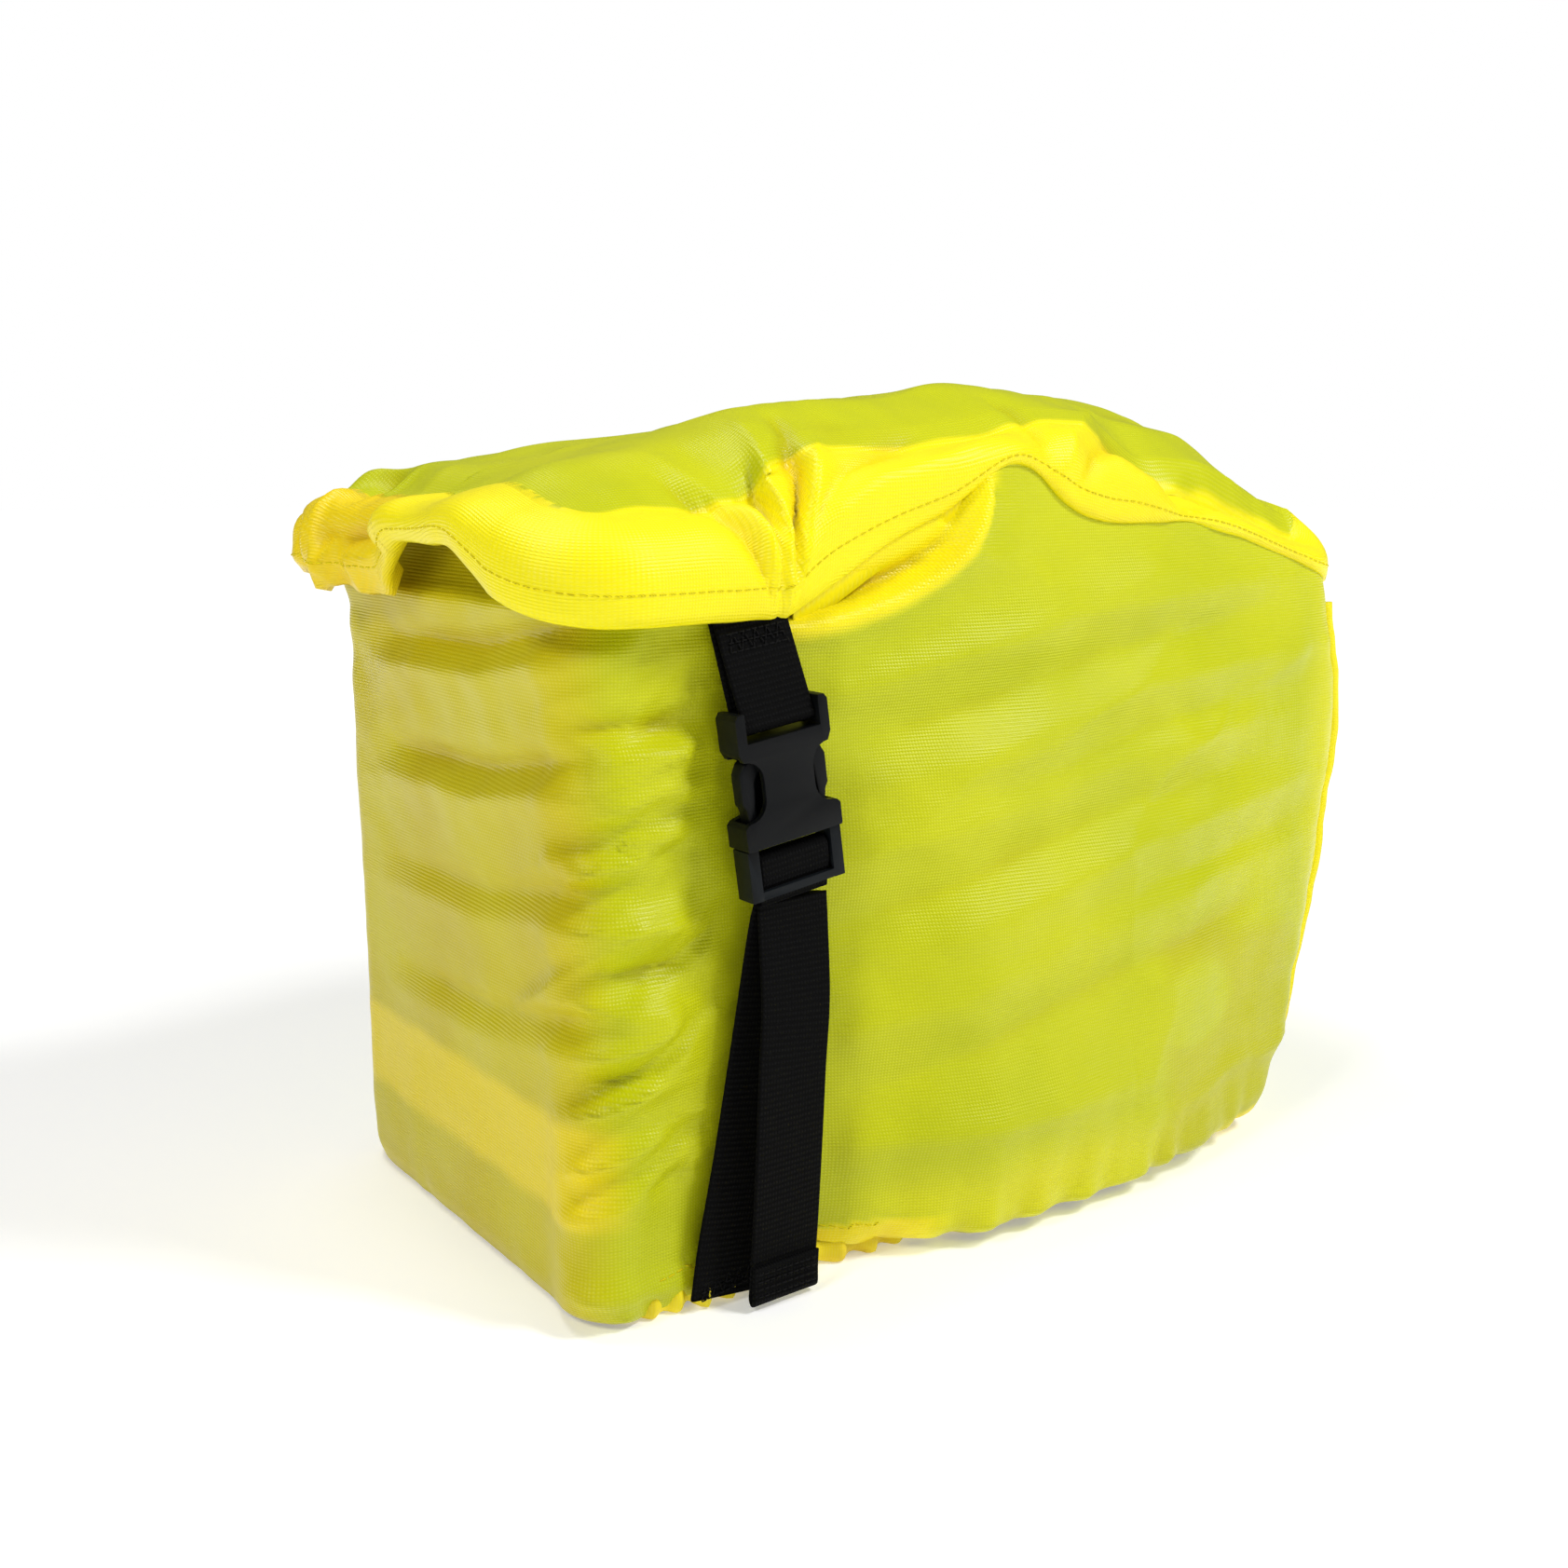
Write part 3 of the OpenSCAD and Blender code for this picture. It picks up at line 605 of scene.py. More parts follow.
def wall_mesh(name, cols, seed):
    """The skin of a stretch of the walls, from hem to seam, with its folds, pocket and gathers."""
    n = cols.shape[1]
    seam = outline_points(cols, np.full(n, SEAM_Z))[2]
    top = wall_top(seam)
    t = np.linspace(0, 1, WALL_ROWS)[:, None] ** 0.97
    hem = curve(HEM_LINE, seam)[None, :]
    z = hem + (top[None, :] - hem) * t
    # The profiles are stretched to the seam where the seam rises above SEAM_Z
    level = np.where(front_share(seam)[None, :] > 0.5, z, hem + (SEAM_Z - hem) * t)
    x, y, s = outline_points(cols, level)
    flat = smooth(-8, -30, s) * smooth(-190, -172, s) * smooth(160, 120, z)
    crisp = 0
    # Crisp folds run up from the near corner towards the strap
    for start, z0, end, rise, amp in ((-4, 40, 34, 16, 2.0), (-9, 66, 40, 26, 2.6), (-40, 92, 16, 34, 1.9),
                                      (6, 98, 42, 18, 1.8), (-16, 142, 30, 12, 2.2), (0, 170, 38, 7, 1.8)):
        run = [(start, z0), (0.6 * start + 0.4 * end, z0 + 0.3 * rise), (end, z0 + rise)]
        over = [(a, b + 5) for a, b in run]
        crisp = crisp + fold(s, z, amp, 1.8, 8.0, run) + fold(s, z, -0.5 * amp, 4.5, 3.0, over)
    out = (1 - 0.4 * flat) * sum((1.1 if f[1] + f[2] < 14 else 0.9) * fold(s, z, *f) for f in WALL_FOLDS)
    out = out * (1 + 0.5 * smooth(80, 110, s))
    out = out + sum(fold(s, z, *f) for f in POCKET_FOLDS)
    out = (out + 1.25 * crisp) * smooth(2, 16, z)
    calm = smooth(top[None, :] + 2, top[None, :] - 22, z)
    out += (1.6 * ripple(s, z, 46, seed) + 0.8 * ripple(s, z * 1.6, 17, seed + 5)) * calm * (1 - 0.6 * flat)
    # Crisp slanting ridges: many round the near corner, a few long ones over the broad side
    bend = 5 * ripple(s, z, 30, seed + 6)
    slant = ripple((s * 0.85 + z * 0.5) / 3.6, (z * 0.85 - s * 0.5 + bend) * 1.3, 17, seed + 7)
    near = smooth(-26, -6, s) * smooth(66, 30, s)
    out += 1.1 * np.clip(1 - np.abs(slant) * 2.4, 0, 1) ** 3 * near * calm
    long = ripple((s * 0.94 + z * 0.34) / 4.5, z * 0.94 - s * 0.34 + bend, 50, seed + 8)
    out += 2.0 * np.clip(1 - np.abs(long) * 2.4, 0, 1) ** 3 * smooth(70, 110, s) * smooth(322, 290, s) * calm
    # The near corner stands squarer towards the floor, and the strap's lane stays clear
    out += 6.0 * np.exp(-(s / 13.0) ** 2) * smooth(90, 8, z) * smooth(-0.5, 5, z)
    lane = smooth(26, 38, s) * smooth(86, 76, s) * smooth(206, 196, z)
    out = np.where(out > 1.5, out - lane * (out - 1.5) * 0.8, out)
    # Gathers run up from the hem, tight at the hem and fading
    low = np.exp(-((z - hem) / 15) ** 1.3)
    phase = s / 3.4 + 2.6 * ripple(s, z * 0, 24, seed + 9)
    strength = curve([[-560, 0.9], [-200, 0.6], [-150, 0.1], [-20, 0.1], [10, 0.9], [40, 1.4], [360, 1.3]], s)
    out += strength * low * (1.1 * np.sin(phase) + 1.0 * ripple(s, z * 0.3, 7, seed + 11) - 1.0)
    # Behind the fold at the front the wall leans in
    lean = curve([[205, 0], [213, -1], [216, 3], [224, 8], [236, 10]], z) * front_share(seam)[None, :]
    lean = lean + 1.2 * ripple(s, z, 26, seed + 3) * smooth(196, 214, z) * front_share(seam)[None, :]
    x = x + cols[3] * (out - lean)
    y = y + cols[4] * (out - lean)
    points = np.stack([x, y, z], axis=-1)
    front = smooth(10, -8, s) * smooth(-190, -178, s)
    edge = 2.0 * ripple(s, z, 20, 2)
    band = smooth(30 + edge, 36 + edge, z) * smooth(66 + edge, 60 + edge, z)
    band = band * smooth(14, -4, s) * smooth(-200, -186, s)
    low_hem = smooth(15.5, 14, z + 1.5 * ripple(s, z * 0, 12, 4)) * smooth(24, 40, s) * smooth(122, 100, s)
    low_hem = np.maximum(low_hem, smooth(13, 9, z + 4 * ripple(s, z * 0, 20, 14)) * smooth(250, 270, s))
    pocket = smooth(48, 60, s) * smooth(148, 138, s) * smooth(-3.5, 1.0, z - pocket_line(s) + 3)
    belly = 0.35 * smooth(66, 110, s) * smooth(240, 190, s) * smooth(38, 18, z)
    far = smooth(300, 330, s) * 0.4
    double = np.clip(low_hem + pocket + belly + far, 0, 1)
    patch = smooth(205, 222, s + 6 * ripple(s, z, 30, 8)) * smooth(312, 292, s)
    patch = patch * smooth(92, 82, z + 0.12 * (s - 250)) * 0.45
    patch = patch * (1 - smooth(10, 4, np.hypot((s - 232) / 1.6, z - 64) - 8))
    # Painted shade in the valleys: the deeper a fold sinks, the darker the cloth is coloured there
    values = dict(front=front, band=band * 0.85, double=double, patch=patch,
                  painted_crease_shade=np.clip(-out / 6 - 0.2, 0, 1) * (0.6 - 0.5 * flat),
                  warm=0.35 * pocket * smooth(240, 225, z) + 0.5 * low_hem)
    uv = np.stack([s, z], axis=-1) * MM
    return points, make(name, points, grid_faces(WALL_ROWS, n), uv, values)


# The cloth's own columns run from the middle of one rear corner round to the middle of the other
HALF_TURN = CORNER_N // 2
rear_start = 2 * SIDE_N + 2 * CORNER_N + END_N + HALF_TURN
rear_end = N - HALF_TURN
wall_index = np.arange(rear_end, N + rear_start + 1) % N
rear_index = np.arange(rear_start, rear_end + 1)


def same_sheet(cols):
    """The columns of the rear end with s continued round it from the plain side."""
    fixed = cols.copy()
    round_rear = 2 * CORNER_R * QUARTER + 2 * (HALF_W - CORNER_R)
    fixed[6] = np.where(fixed[5] > 0, PLAIN_S - round_rear - STRAP_S + fixed[6], fixed[6])
    fixed[5] = -1
    return fixed


wall_points, wall = wall_mesh("cover_wall_cloth", COLS[:, wall_index], 1.0)
_, rear = wall_mesh("cover_rear_panel", same_sheet(COLS[:, rear_index]), 2.0)
for piece, node in ((wall, "wall_cloth"), (rear, "rear_panel")):
    dress(piece, COVER, "cover", "cover_cloth", node)

# ---------------------------------------------------------------- cover: top

STRIP_ROWS = 18
# Folds of the strap side of the top: x along the bag, and q, the distance inwards from the crest
PINCH_FOLDS = [
    (4.5, 3.0, 3.6, [(-84, -42), (-79, -14), (-76, 6)]),
    (-4.5, 2.2, 2.2, [(-86, -42), (-83, -14), (-81, 6)]),
    (-4.0, 2.2, 2.4, [(-82, -40), (-73, -14), (-68, 6)]),
    (1.5, 3.6, 3.6, [(-78, -6), (-74, 14), (-72, 26)]),
    (2.5, 2.6, 2.6, [(-88, -40), (-90, -14), (-90, 4)]),
    (-3.0, 2.0, 2.0, [(-89, -38), (-95, -12), (-98, 4)]),
    (2.5, 2.4, 2.8, [(-80, -38), (-64, -10), (-56, 4)]),
    (-3.0, 3.0, 3.0, [(-82, -30), (-68, -4), (-60, 22)]),
    (-3.0, 4.0, 4.0, [(-92, -30), (-100, -4), (-108, 14)]),
    (2.5, 6.0, 6.0, [(-86, -30), (-94, -2), (-104, 24)]),
    (-3.0, 4.0, 4.0, [(-78, -30), (-52, -10), (-20, 4)]),
    (3.5, 6.0, 6.0, [(-80, -32), (-44, -16), (-6, -10), (14, -6)]),
    (3.0, 5.0, 5.0, [(30, -22), (38, -8), (56, 6), (70, 14)]),
    (-3.0, 4.0, 4.0, [(36, -26), (48, -12), (66, 0), (84, 4)]),
    (-2.5, 4.0, 4.0, [(22, -14), (26, 2), (24, 18)]),
    (2.5, 6.0, 7.0, [(66, -20), (82, -4), (110, 6), (140, 8)]),
    (-2.5, 5.0, 6.0, [(88, -14), (112, -4), (146, 0)]),
    (2.5, 8.0, 8.0, [(60, 30), (104, 24), (150, 30)]),
    (-2.0, 8.0, 8.0, [(40, 44), (100, 40), (150, 46)]),
    (2.0, 9.0, 9.0, [(-60, 34), (-20, 30), (30, 40)]),
]


def top_mesh():
    """The top: a rim from the edge up over the crest, and a cap inside the crest, welded into one sheet."""
    s = SEAM_S
    # Round the rear end the two ends of s meet, so the rear columns blend to a height of their own
    rear_w = smooth(165, 183, SEAM_X)
    edge_out = curve(EDGE_OUT, s)
    edge_z = edge_height(s)
    crest_out = curve(CREST_OUT, s)
    crest_z = crest_height(s)
    rear_z = crest_z * (1 - rear_w) + (REAR_CREST_Z - 0.0022 * SEAM_Y ** 2) * rear_w
    crest_z = np.where(rear_w > 0, np.maximum(rear_z, edge_z + 8), crest_z)
    nx, ny = COLS[3], COLS[4]
    lip = front_share(s)
    fray = 1.3 * ripple(s, s * 0, 13, 21) * lip
    e = np.stack([SEAM_X + nx * (edge_out + fray), SEAM_Y + ny * (edge_out + fray), edge_z + 0.8 * fray], -1)
    c = np.stack([SEAM_X + nx * crest_out, SEAM_Y + ny * crest_out, crest_z], -1)
    shoulder = 3.5 + 3.5 * lip
    q = np.stack([SEAM_X + nx * (edge_out + shoulder), SEAM_Y + ny * (edge_out + shoulder),
                  edge_z + (crest_z - edge_z) * (0.78 + 0.1 * lip)], -1)
    t = np.linspace(0, 1, STRIP_ROWS)[:, None, None]
    rim = (1 - t) ** 2 * e + 2 * t * (1 - t) * q + t * t * c
    # under the edge the cloth turns back up behind itself
    back = 2 + 3 * lip
    turn = [e - np.stack([nx * back, ny * back, -(7 * lip)], -1),
            e - np.stack([nx * back * 0.6, ny * back * 0.6, 0.8 + 0 * s], -1)]
    rim = np.concatenate([np.stack(turn), rim])
    # cap: a grid whose four sides are stretches of the crest
    h = CORNER_N // 2
    first = SIDE_N + h
    strap = np.arange(-h, first + 1)[::-1] % N
    far = np.arange(SIDE_N + CORNER_N + END_N + h, 2 * SIDE_N + 2 * CORNER_N + END_N + h + 1) % N
    front = np.arange(first, SIDE_N + CORNER_N + END_N + h + 1)
    rear_side = (np.arange(2 * SIDE_N + 2 * CORNER_N + END_N + h, N - h + 1) % N)[::-1]
    # strap and far run from front to rear; front and rear_side run from the strap side to the far side
    u = np.linspace(0, 1, len(strap))[:, None, None]
    v = np.linspace(0, 1, len(front))[None, :, None]
    lo, hi = c[strap][:, None, :], c[far][:, None, :]
    a, b = c[front][None, :, :], c[rear_side][None, :, :]
    corners = ((1 - u) * (1 - v) * c[strap[0]] + (1 - u) * v * c[far[0]]
               + u * (1 - v) * c[strap[-1]] + u * v * c[far[-1]])
    cap = (1 - v) * lo + v * hi + (1 - u) * a + u * b - corners
    mid = cap[:, len(front) // 2, :]
    lift = ridge_height(mid[:, 0]) - mid[:, 2]
    across = 1 - np.abs(2 * v[0, :, 0] - 1) ** 2.2
    ends = 1 - np.abs(2 * u[:, 0, 0] - 1) ** 9
    cap[:, :, 2] += (lift * ends)[:, None] * across[None, :]
    rows, n = rim.shape[0], N
    points = np.concatenate([rim.reshape(-1, 3), cap.reshape(-1, 3)])
    faces = grid_faces(rows, n, closed=True)
    faces += [f[::-1] for f in grid_faces(cap.shape[0], cap.shape[1], start=rows * n)]
    # (x, q) coordinates for the folds: q is the distance inwards from the crest, less than 0 on the rim
    arc = np.zeros(rim.shape[:2])
    arc[:-1] = np.cumsum(np.linalg.norm(np.diff(rim, axis=0), axis=2)[::-1], axis=0)[::-1]
    depth = np.minimum(np.linalg.norm((cap - lo)[:, :, :2], axis=2),
                       np.linalg.norm((cap - hi)[:, :, :2], axis=2))
    q_all = np.concatenate([-arc.ravel(), depth.ravel()])
    s_all = np.concatenate([np.broadcast_to(s, rim.shape[:2]).ravel(), (cap[:, :, 0] + STRAP_S).ravel()])
    strap_side = np.broadcast_to(SEAM_Y, rim.shape[:2]) < 0
    near = np.concatenate([strap_side.ravel(), (cap[:, :, 1] < 0).ravel()])
    return points, faces, s_all, q_all, near, rim, cap


def build_top():
    """The top with its folds, and the moved points of its rim."""
    points, faces, s, q, near, rim, cap = top_mesh()
    x, y, z = points.T
    obj = make("cover_top", points, faces)
    bm = bmesh.new()
    bm.from_mesh(obj.data)
    bmesh.ops.recalc_face_normals(bm, faces=bm.faces)
    bm.normal_update()
    normals = np.array([v.normal[:] for v in bm.verts])
    bm.free()
    if normals[len(rim.reshape(-1, 3)) + cap.shape[0] * cap.shape[1] // 2][2] < 0:
        normals = -normals
    # The pinch's folds on the strap side, then soft unevenness inside the crest and on the rim
    lift = np.where(near, sum(fold(x, q, *f) for f in PINCH_FOLDS), 0.0)
    lift = lift * smooth(-150, -120, x)
    body = smooth(-26, 0, q)
    lift += body * (2.0 * ripple(x, y, 48, 31) + 1.0 * ripple(x * 1.3, y, 19, 32))
    lift += (1 - body) * 1.0 * ripple(s, q, 22, 33) * smooth(-45, -25, q)
    count = rim.shape[1] * rim.shape[0]
    # rim and cap move alike along their common line
    key = {}
    for i, p in enumerate(np.round(points, 3).tolist()):
        key.setdefault(tuple(p), []).append(i)
    for group in key.values():
        if len(group) > 1:
            normals[group] = normals[group].mean(0)
            lift[group] = lift[group].mean()
    normals /= np.maximum(np.linalg.norm(normals, axis=1), 1e-9)[:, None]
    # the crumpled tip at the far front corner
    tip = np.exp(-((y - 62) / 34) ** 2) * smooth(-120, -142, x)
    creases = (fold(y, z, 6, 4, 5, [(-14, 244), (6, 232), (24, 224), (44, 222)])
               + fold(y, z, -6, 5, 5, [(4, 226), (24, 231), (48, 230)])
               + fold(y, z, 5, 4, 4, [(50, 216), (56, 228), (60, 243)])
               + fold(y, z, -4, 4, 4, [(64, 214), (70, 228), (76, 240)]))
    crumple = 3.4 * (1 - 2.4 * np.abs(ripple(y, z, 17, 41))) - 1.2
    lift += creases * smooth(-128, -146, x) * 0.8 + tip * crumple
    moved = points + normals * lift[:, None]
    moved[:, 2] = np.minimum(moved[:, 2], 282)
    co = (moved * MM).astype(np.float32)
    obj.data.vertices.foreach_set("co", co.ravel())
    wob = 1.2 * ripple(x, y, 16, 51)
    double = smooth(3.0, 0.6, q + wob)
    warm = 0.9 * smooth(-118, -142, x) * smooth(-30, 40, y) + 0.15
    # Painted shade in the valleys of the top's folds: the deeper a fold sinks, the darker its colour
    for name, data in dict(double=double, front=0 * double, band=0 * double, patch=0 * double,
                           warm=np.clip(warm, 0, 1), painted_crease_shade=0.8 * np.clip(-lift / 6 - 0.1, 0, 1)).items():
        layer = obj.data.attributes.new(name, "FLOAT", "POINT")
        layer.data.foreach_set("value", data.astype(np.float32))
    layer = obj.data.uv_layers.new(name="UVMap")
    corner = np.zeros(len(obj.data.loops), np.int32)
    obj.data.loops.foreach_get("vertex_index", corner)
    uv = np.stack([np.where(near, s, x), np.where(q < 0, q, 80 - np.abs(y))], -1) * MM
    layer.data.foreach_set("uv", uv[corner].astype(np.float32).ravel())
    bm = bmesh.new()
    bm.from_mesh(obj.data)
    bmesh.ops.remove_doubles(bm, verts=bm.verts, dist=2e-5)
    bmesh.ops.recalc_face_normals(bm, faces=bm.faces)
    bm.to_mesh(obj.data)
    bm.free()
    return obj, moved[:count].reshape(rim.shape)


top, rim_points = build_top()
dress(top, COVER, "cover", "cover_cloth", "top_panel", "front_fold")

# ---------------------------------------------------------------- cover: hem, seams and stitches


def tube(name, centre, outward, radial, rise, sides=16):
    """A closed ring of cloth or cord round a loop of centres; radial and rise are its half axes."""
    angles = np.linspace(0, 2 * math.pi, sides, endpoint=False)[:, None]
    radial, rise = np.broadcast_to(radial, len(centre)), np.broadcast_to(rise, len(centre))
    ring = np.zeros((sides, len(centre), 3))
    ring[:, :, :2] = centre[None, :, :2] + outward[None, :, :] * (radial * np.cos(angles))[:, :, None]
    ring[:, :, 2] = np.maximum(centre[None, :, 2] + rise * np.sin(angles), 0.25)
    n = len(centre)
    faces = [(a * n + c, a * n + (c + 1) % n, (a + 1) % sides * n + (c + 1) % n, (a + 1) % sides * n + c)
             for a in range(sides) for c in range(n)]
    length = np.concatenate([[0], np.cumsum(np.linalg.norm(np.diff(centre, axis=0), axis=1))])
    uv = np.stack([np.broadcast_to(length, (sides, n)), np.broadcast_to(angles * 4, (sides, n))], -1) * MM
    return recalc(make(name, ring, faces, uv))


def build_hem():
    """The hem's tunnel, ruffled where the elastic gathers it, and the elastic inside."""
    x, y, s = outline_points(COLS, np.full(N, 2.0))
    outward = COLS[3:5].T
    length = np.concatenate([[0], np.cumsum(np.hypot(np.diff(x), np.diff(y)))])
    phase = 2 * math.pi * 82 * length / (length[-1] + math.hypot(x[0] - x[-1], y[0] - y[-1]))
    wave = np.sin(phase + 7 * ripple(x, y, 34, 61)) + 0.9 * ripple(x, y, 11, 62)
    share = curve([[-620, 0.5], [-200, 0.4], [-150, 0.1], [-14, 0.1], [18, 0.5], [32, 1.0], [92, 0.9],
                   [120, 0.4], [360, 0.4]], s)
    puff = np.sign(wave) * np.abs(wave) ** 1.4 * share
    inset = -3.9 + 1.9 * np.maximum(puff, -0.3) + 2.9 * share
    centre = np.stack([x + outward[:, 0] * inset, y + outward[:, 1] * inset,
                       4.2 + 0.9 * share + 0.5 * share * ripple(x, y, 9, 63)], -1)
    tunnel = tube("cover_hem_tunnel", centre, outward, 2.1 + 1.0 * share + 0.9 * puff,
                  3.8 + 1.2 * share + 1.0 * puff)
    elastic = tube("cover_hem_elastic", centre, outward, 1.4, 1.4, 10)
    return tunnel, elastic


def along(path, pitch):
    """Points and directions at an even pitch along a path."""
    path = np.asarray(path, float)
    length = np.concatenate([[0], np.cumsum(np.linalg.norm(np.diff(path, axis=0), axis=1))])
    at = np.arange(pitch / 2, length[-1], pitch)
    points = np.stack([np.interp(at, length, path[:, k]) for k in range(3)], -1)
    ahead = np.stack([np.interp(at + 0.5, length, path[:, k]) for k in range(3)], -1)
    behind = np.stack([np.interp(at - 0.5, length, path[:, k]) for k in range(3)], -1)
    aim = ahead - behind
    return points, aim / np.maximum(np.linalg.norm(aim, axis=1), 1e-9)[:, None]


def stitches(name, paths, pitch=3.2, length=2.4, radius=0.26):
    """Rows of thread, one small tapered bead for each stitch."""
    sides = 6
    profile = ((-0.5, 0.35), (-0.32, 1.0), (0.32, 1.0), (0.5, 0.35))
    points, faces = [], []
    for path in paths:
        for p, d in zip(*along(path, pitch)):
            a = np.cross(d, (0.3, 0.2, 1.0))
            a /= np.linalg.norm(a)
            b = np.cross(d, a)
            start = len(points)
            for t, r in profile:
                for k in range(sides):
                    w = 2 * math.pi * k / sides
                    points.append(p + d * t * length + radius * r * (a * math.cos(w) + b * math.sin(w)))
            faces += grid_faces(len(profile), sides, closed=True, start=start)
            faces.append(tuple(start + k for k in range(sides))[::-1])
            faces.append(tuple(start + (len(profile) - 1) * sides + k for k in range(sides)))
    return recalc(make(name, points, faces))


def seam_strip(name, base, aim, width, thick, wobble):
    """A strip of doubled cloth that stands out of a seam."""
    base = np.asarray(base, float)
    aim = np.asarray(aim, float) / np.linalg.norm(aim, axis=-1)[..., None]
    side = np.cross(aim, np.gradient(base, axis=0))
    side /= np.linalg.norm(side, axis=1)[:, None]
    w = (width + wobble)[:, None]
    bend = side * (0.6 * wobble)[:, None]
    rows = [base - side * thick / 2 - aim, base + aim * w * 0.6 - side * thick / 2 + bend * 0.5,
            base + aim * w - side * thick * 0.3 + bend, base + aim * w + side * thick * 0.3 + bend,
            base + aim * w * 0.6 + side * thick / 2 + bend * 0.5, base + side * thick / 2 - aim]
    n = len(base)
    points = np.stack(rows)
    faces = grid_faces(6, n)
    faces += [(5 * n + c, 5 * n + c + 1, c + 1, c) for c in range(n - 1)]
    faces += [tuple(r * n for r in range(6)), tuple(r * n + n - 1 for r in range(6))[::-1]]
    z = base[:, 2]
    uv = np.stack([np.broadcast_to(np.arange(6)[:, None] * 2.0, (6, n)), np.broadcast_to(z, (6, n))], -1) * MM
    ones = np.ones((6, n))
    values = dict(double=ones, front=0 * ones, band=0 * ones, patch=0 * ones, warm=0.25 * ones, painted_crease_shade=0 * ones)
    return recalc(make(name, points, faces, uv, values))


def pushed(points, outward, distance):
    """Points moved outwards in plan."""
    moved = np.array(points, float)
    moved[..., :2] += outward * distance
    return moved


hem_tunnel, hem_elastic = build_hem()
dress(hem_tunnel, HEM, "cover", "cover_cloth_double", "hem_tunnel")
dress(hem_elastic, ELASTIC, "cover", "hem_elastic", "hem_elastic")

wall_out = COLS[3:5, wall_index].T
rear_seams = []
for side_name, col in (("strap_side", 0), ("plain_side", -1)):
    line = wall_points[:, col][6:-4:2]
    aim = np.array([[1.6 + wall_out[col][0], wall_out[col][1], 0]] * len(line))
    wave = 0.7 * ripple(line[:, 2], line[:, 2] * 0, 26, 71 + col)
    piece = seam_strip("cover_rear_seam_" + side_name, line, aim, 3.4 * smooth(2, 30, line[:, 2]), 0.9, wave)
    dress(piece, COVER, "cover", "cover_cloth_double")
    rear_seams.append(pushed(line, wall_out[col], 0.9) - np.array([2.2, 0, 0]))

# The tape inside the seam between the top and the walls
seam_cols = np.nonzero((SEAM_S > 66) | (SEAM_S < -230))[0]
rim_row = rim_points[2]
order = np.concatenate([seam_cols[seam_cols > SIDE_N], seam_cols[seam_cols <= SIDE_N]])
seam_line = rim_row[order]
seam_out = COLS[3:5, order].T
inside = pushed(seam_line, seam_out, -3.2)
tape = seam_strip("cover_seam_tape", inside - np.array([0, 0, 7]), np.array([[0, 0, 1.0]] * len(inside)),
                  np.full(len(inside), 11.0), 0.5, np.zeros(len(inside)))
dress(tape, COVER, "cover", "cover_cloth_double", "top_seam_tape")

lip_cols = np.nonzero((SEAM_S < 66) & (SEAM_S > -231))[0]
lip_out = COLS[3:5, lip_cols].T
hem_row = np.argmax(wall_points[:, :, 2] > 13.0, axis=0)
hem_seen = np.nonzero((SEAM_S[wall_index] > 18) & (SEAM_S[wall_index] < 104))[0]
hem_stitch = np.array([wall_points[r, c] for c, r in enumerate(hem_row)])
thread = stitches("cover_thread", [
    pushed(rim_points[5][order], seam_out, 0.05),
    pushed(rim_points[5][lip_cols], lip_out, 0.05),
    pushed(hem_stitch[hem_seen], wall_out[hem_seen], 0.05),
    *rear_seams])
dress(thread, THREAD_YELLOW, "cover", "stitching")

# ---------------------------------------------------------------- strap and buckle

MOUTH = np.array([-86, -100.8, 146.5])
LEAN = math.radians(8)
BAR_Z, WRAP_BAR_Z = 35.9, -5.4
WEB_W, WEB_T = 25.0, 1.3


def in_buckle(points):
    """Points of the buckle's frame, whose origin is the socket's mouth and whose Z runs up the strap."""
    p = np.asarray(points, float)
    c, d = math.cos(LEAN), math.sin(LEAN)
    return np.stack([p[..., 0] * c - p[..., 2] * d, p[..., 1], p[..., 0] * d + p[..., 2] * c], -1) + MOUTH


def spline(points, steps):
    """A smooth path through given points."""
    p = np.asarray(points, float)
    p = np.concatenate([[2 * p[0] - p[1]], p, [2 * p[-1] - p[-2]]])
    out = []
    for a, b, c, d in zip(p[:-3], p[1:-2], p[2:-1], p[3:]):
        for t in np.linspace(0, 1, steps, endpoint=False):
            out.append(0.5 * (2 * b + (c - a) * t + (2 * a - 5 * b + 4 * c - d) * t * t
                              + (3 * b - a - 3 * c + d) * t ** 3))
    return np.array(out + [p[-2]])


def ribbon(name, path, across=(1, 0, 0), width=WEB_W, thick=WEB_T):
    """Flat webbing along a path, with rounded selvedges. across is its width direction, either one for all
    or one for each point."""
    path = np.asarray(path, float)
    ahead = np.gradient(path, axis=0)
    across = np.broadcast_to(np.asarray(across, float), path.shape).copy()
    across -= ahead * (np.sum(across * ahead, 1) / np.sum(ahead * ahead, 1))[:, None]
    across /= np.linalg.norm(across, axis=1)[:, None]
    face = np.cross(ahead, across)
    face /= np.linalg.norm(face, axis=1)[:, None]
    h, t = width / 2, thick / 2
    flat = [(v, t) for v in np.linspace(-h + 0.8, h - 0.8, 9)]
    section = flat + [(h - 0.2, t * 0.75), (h, 0), (h - 0.2, -t * 0.75)]
    section += [(-v, -w) for v, w in section]
    n, m = len(path), len(section)
    points = np.array([[p + a * u + f * v for u, v in section] for p, a, f in zip(path, across, face)])
    faces = grid_faces(n, m, closed=True) + [tuple(range(m))[::-1], tuple((n - 1) * m + k for k in range(m))]
    length = np.concatenate([[0], np.cumsum(np.linalg.norm(np.diff(path, axis=0), axis=1))])
    uv = np.array([[(u, w) for u, _ in section] for w in length]) * MM
    return recalc(make(name, points, faces, uv))


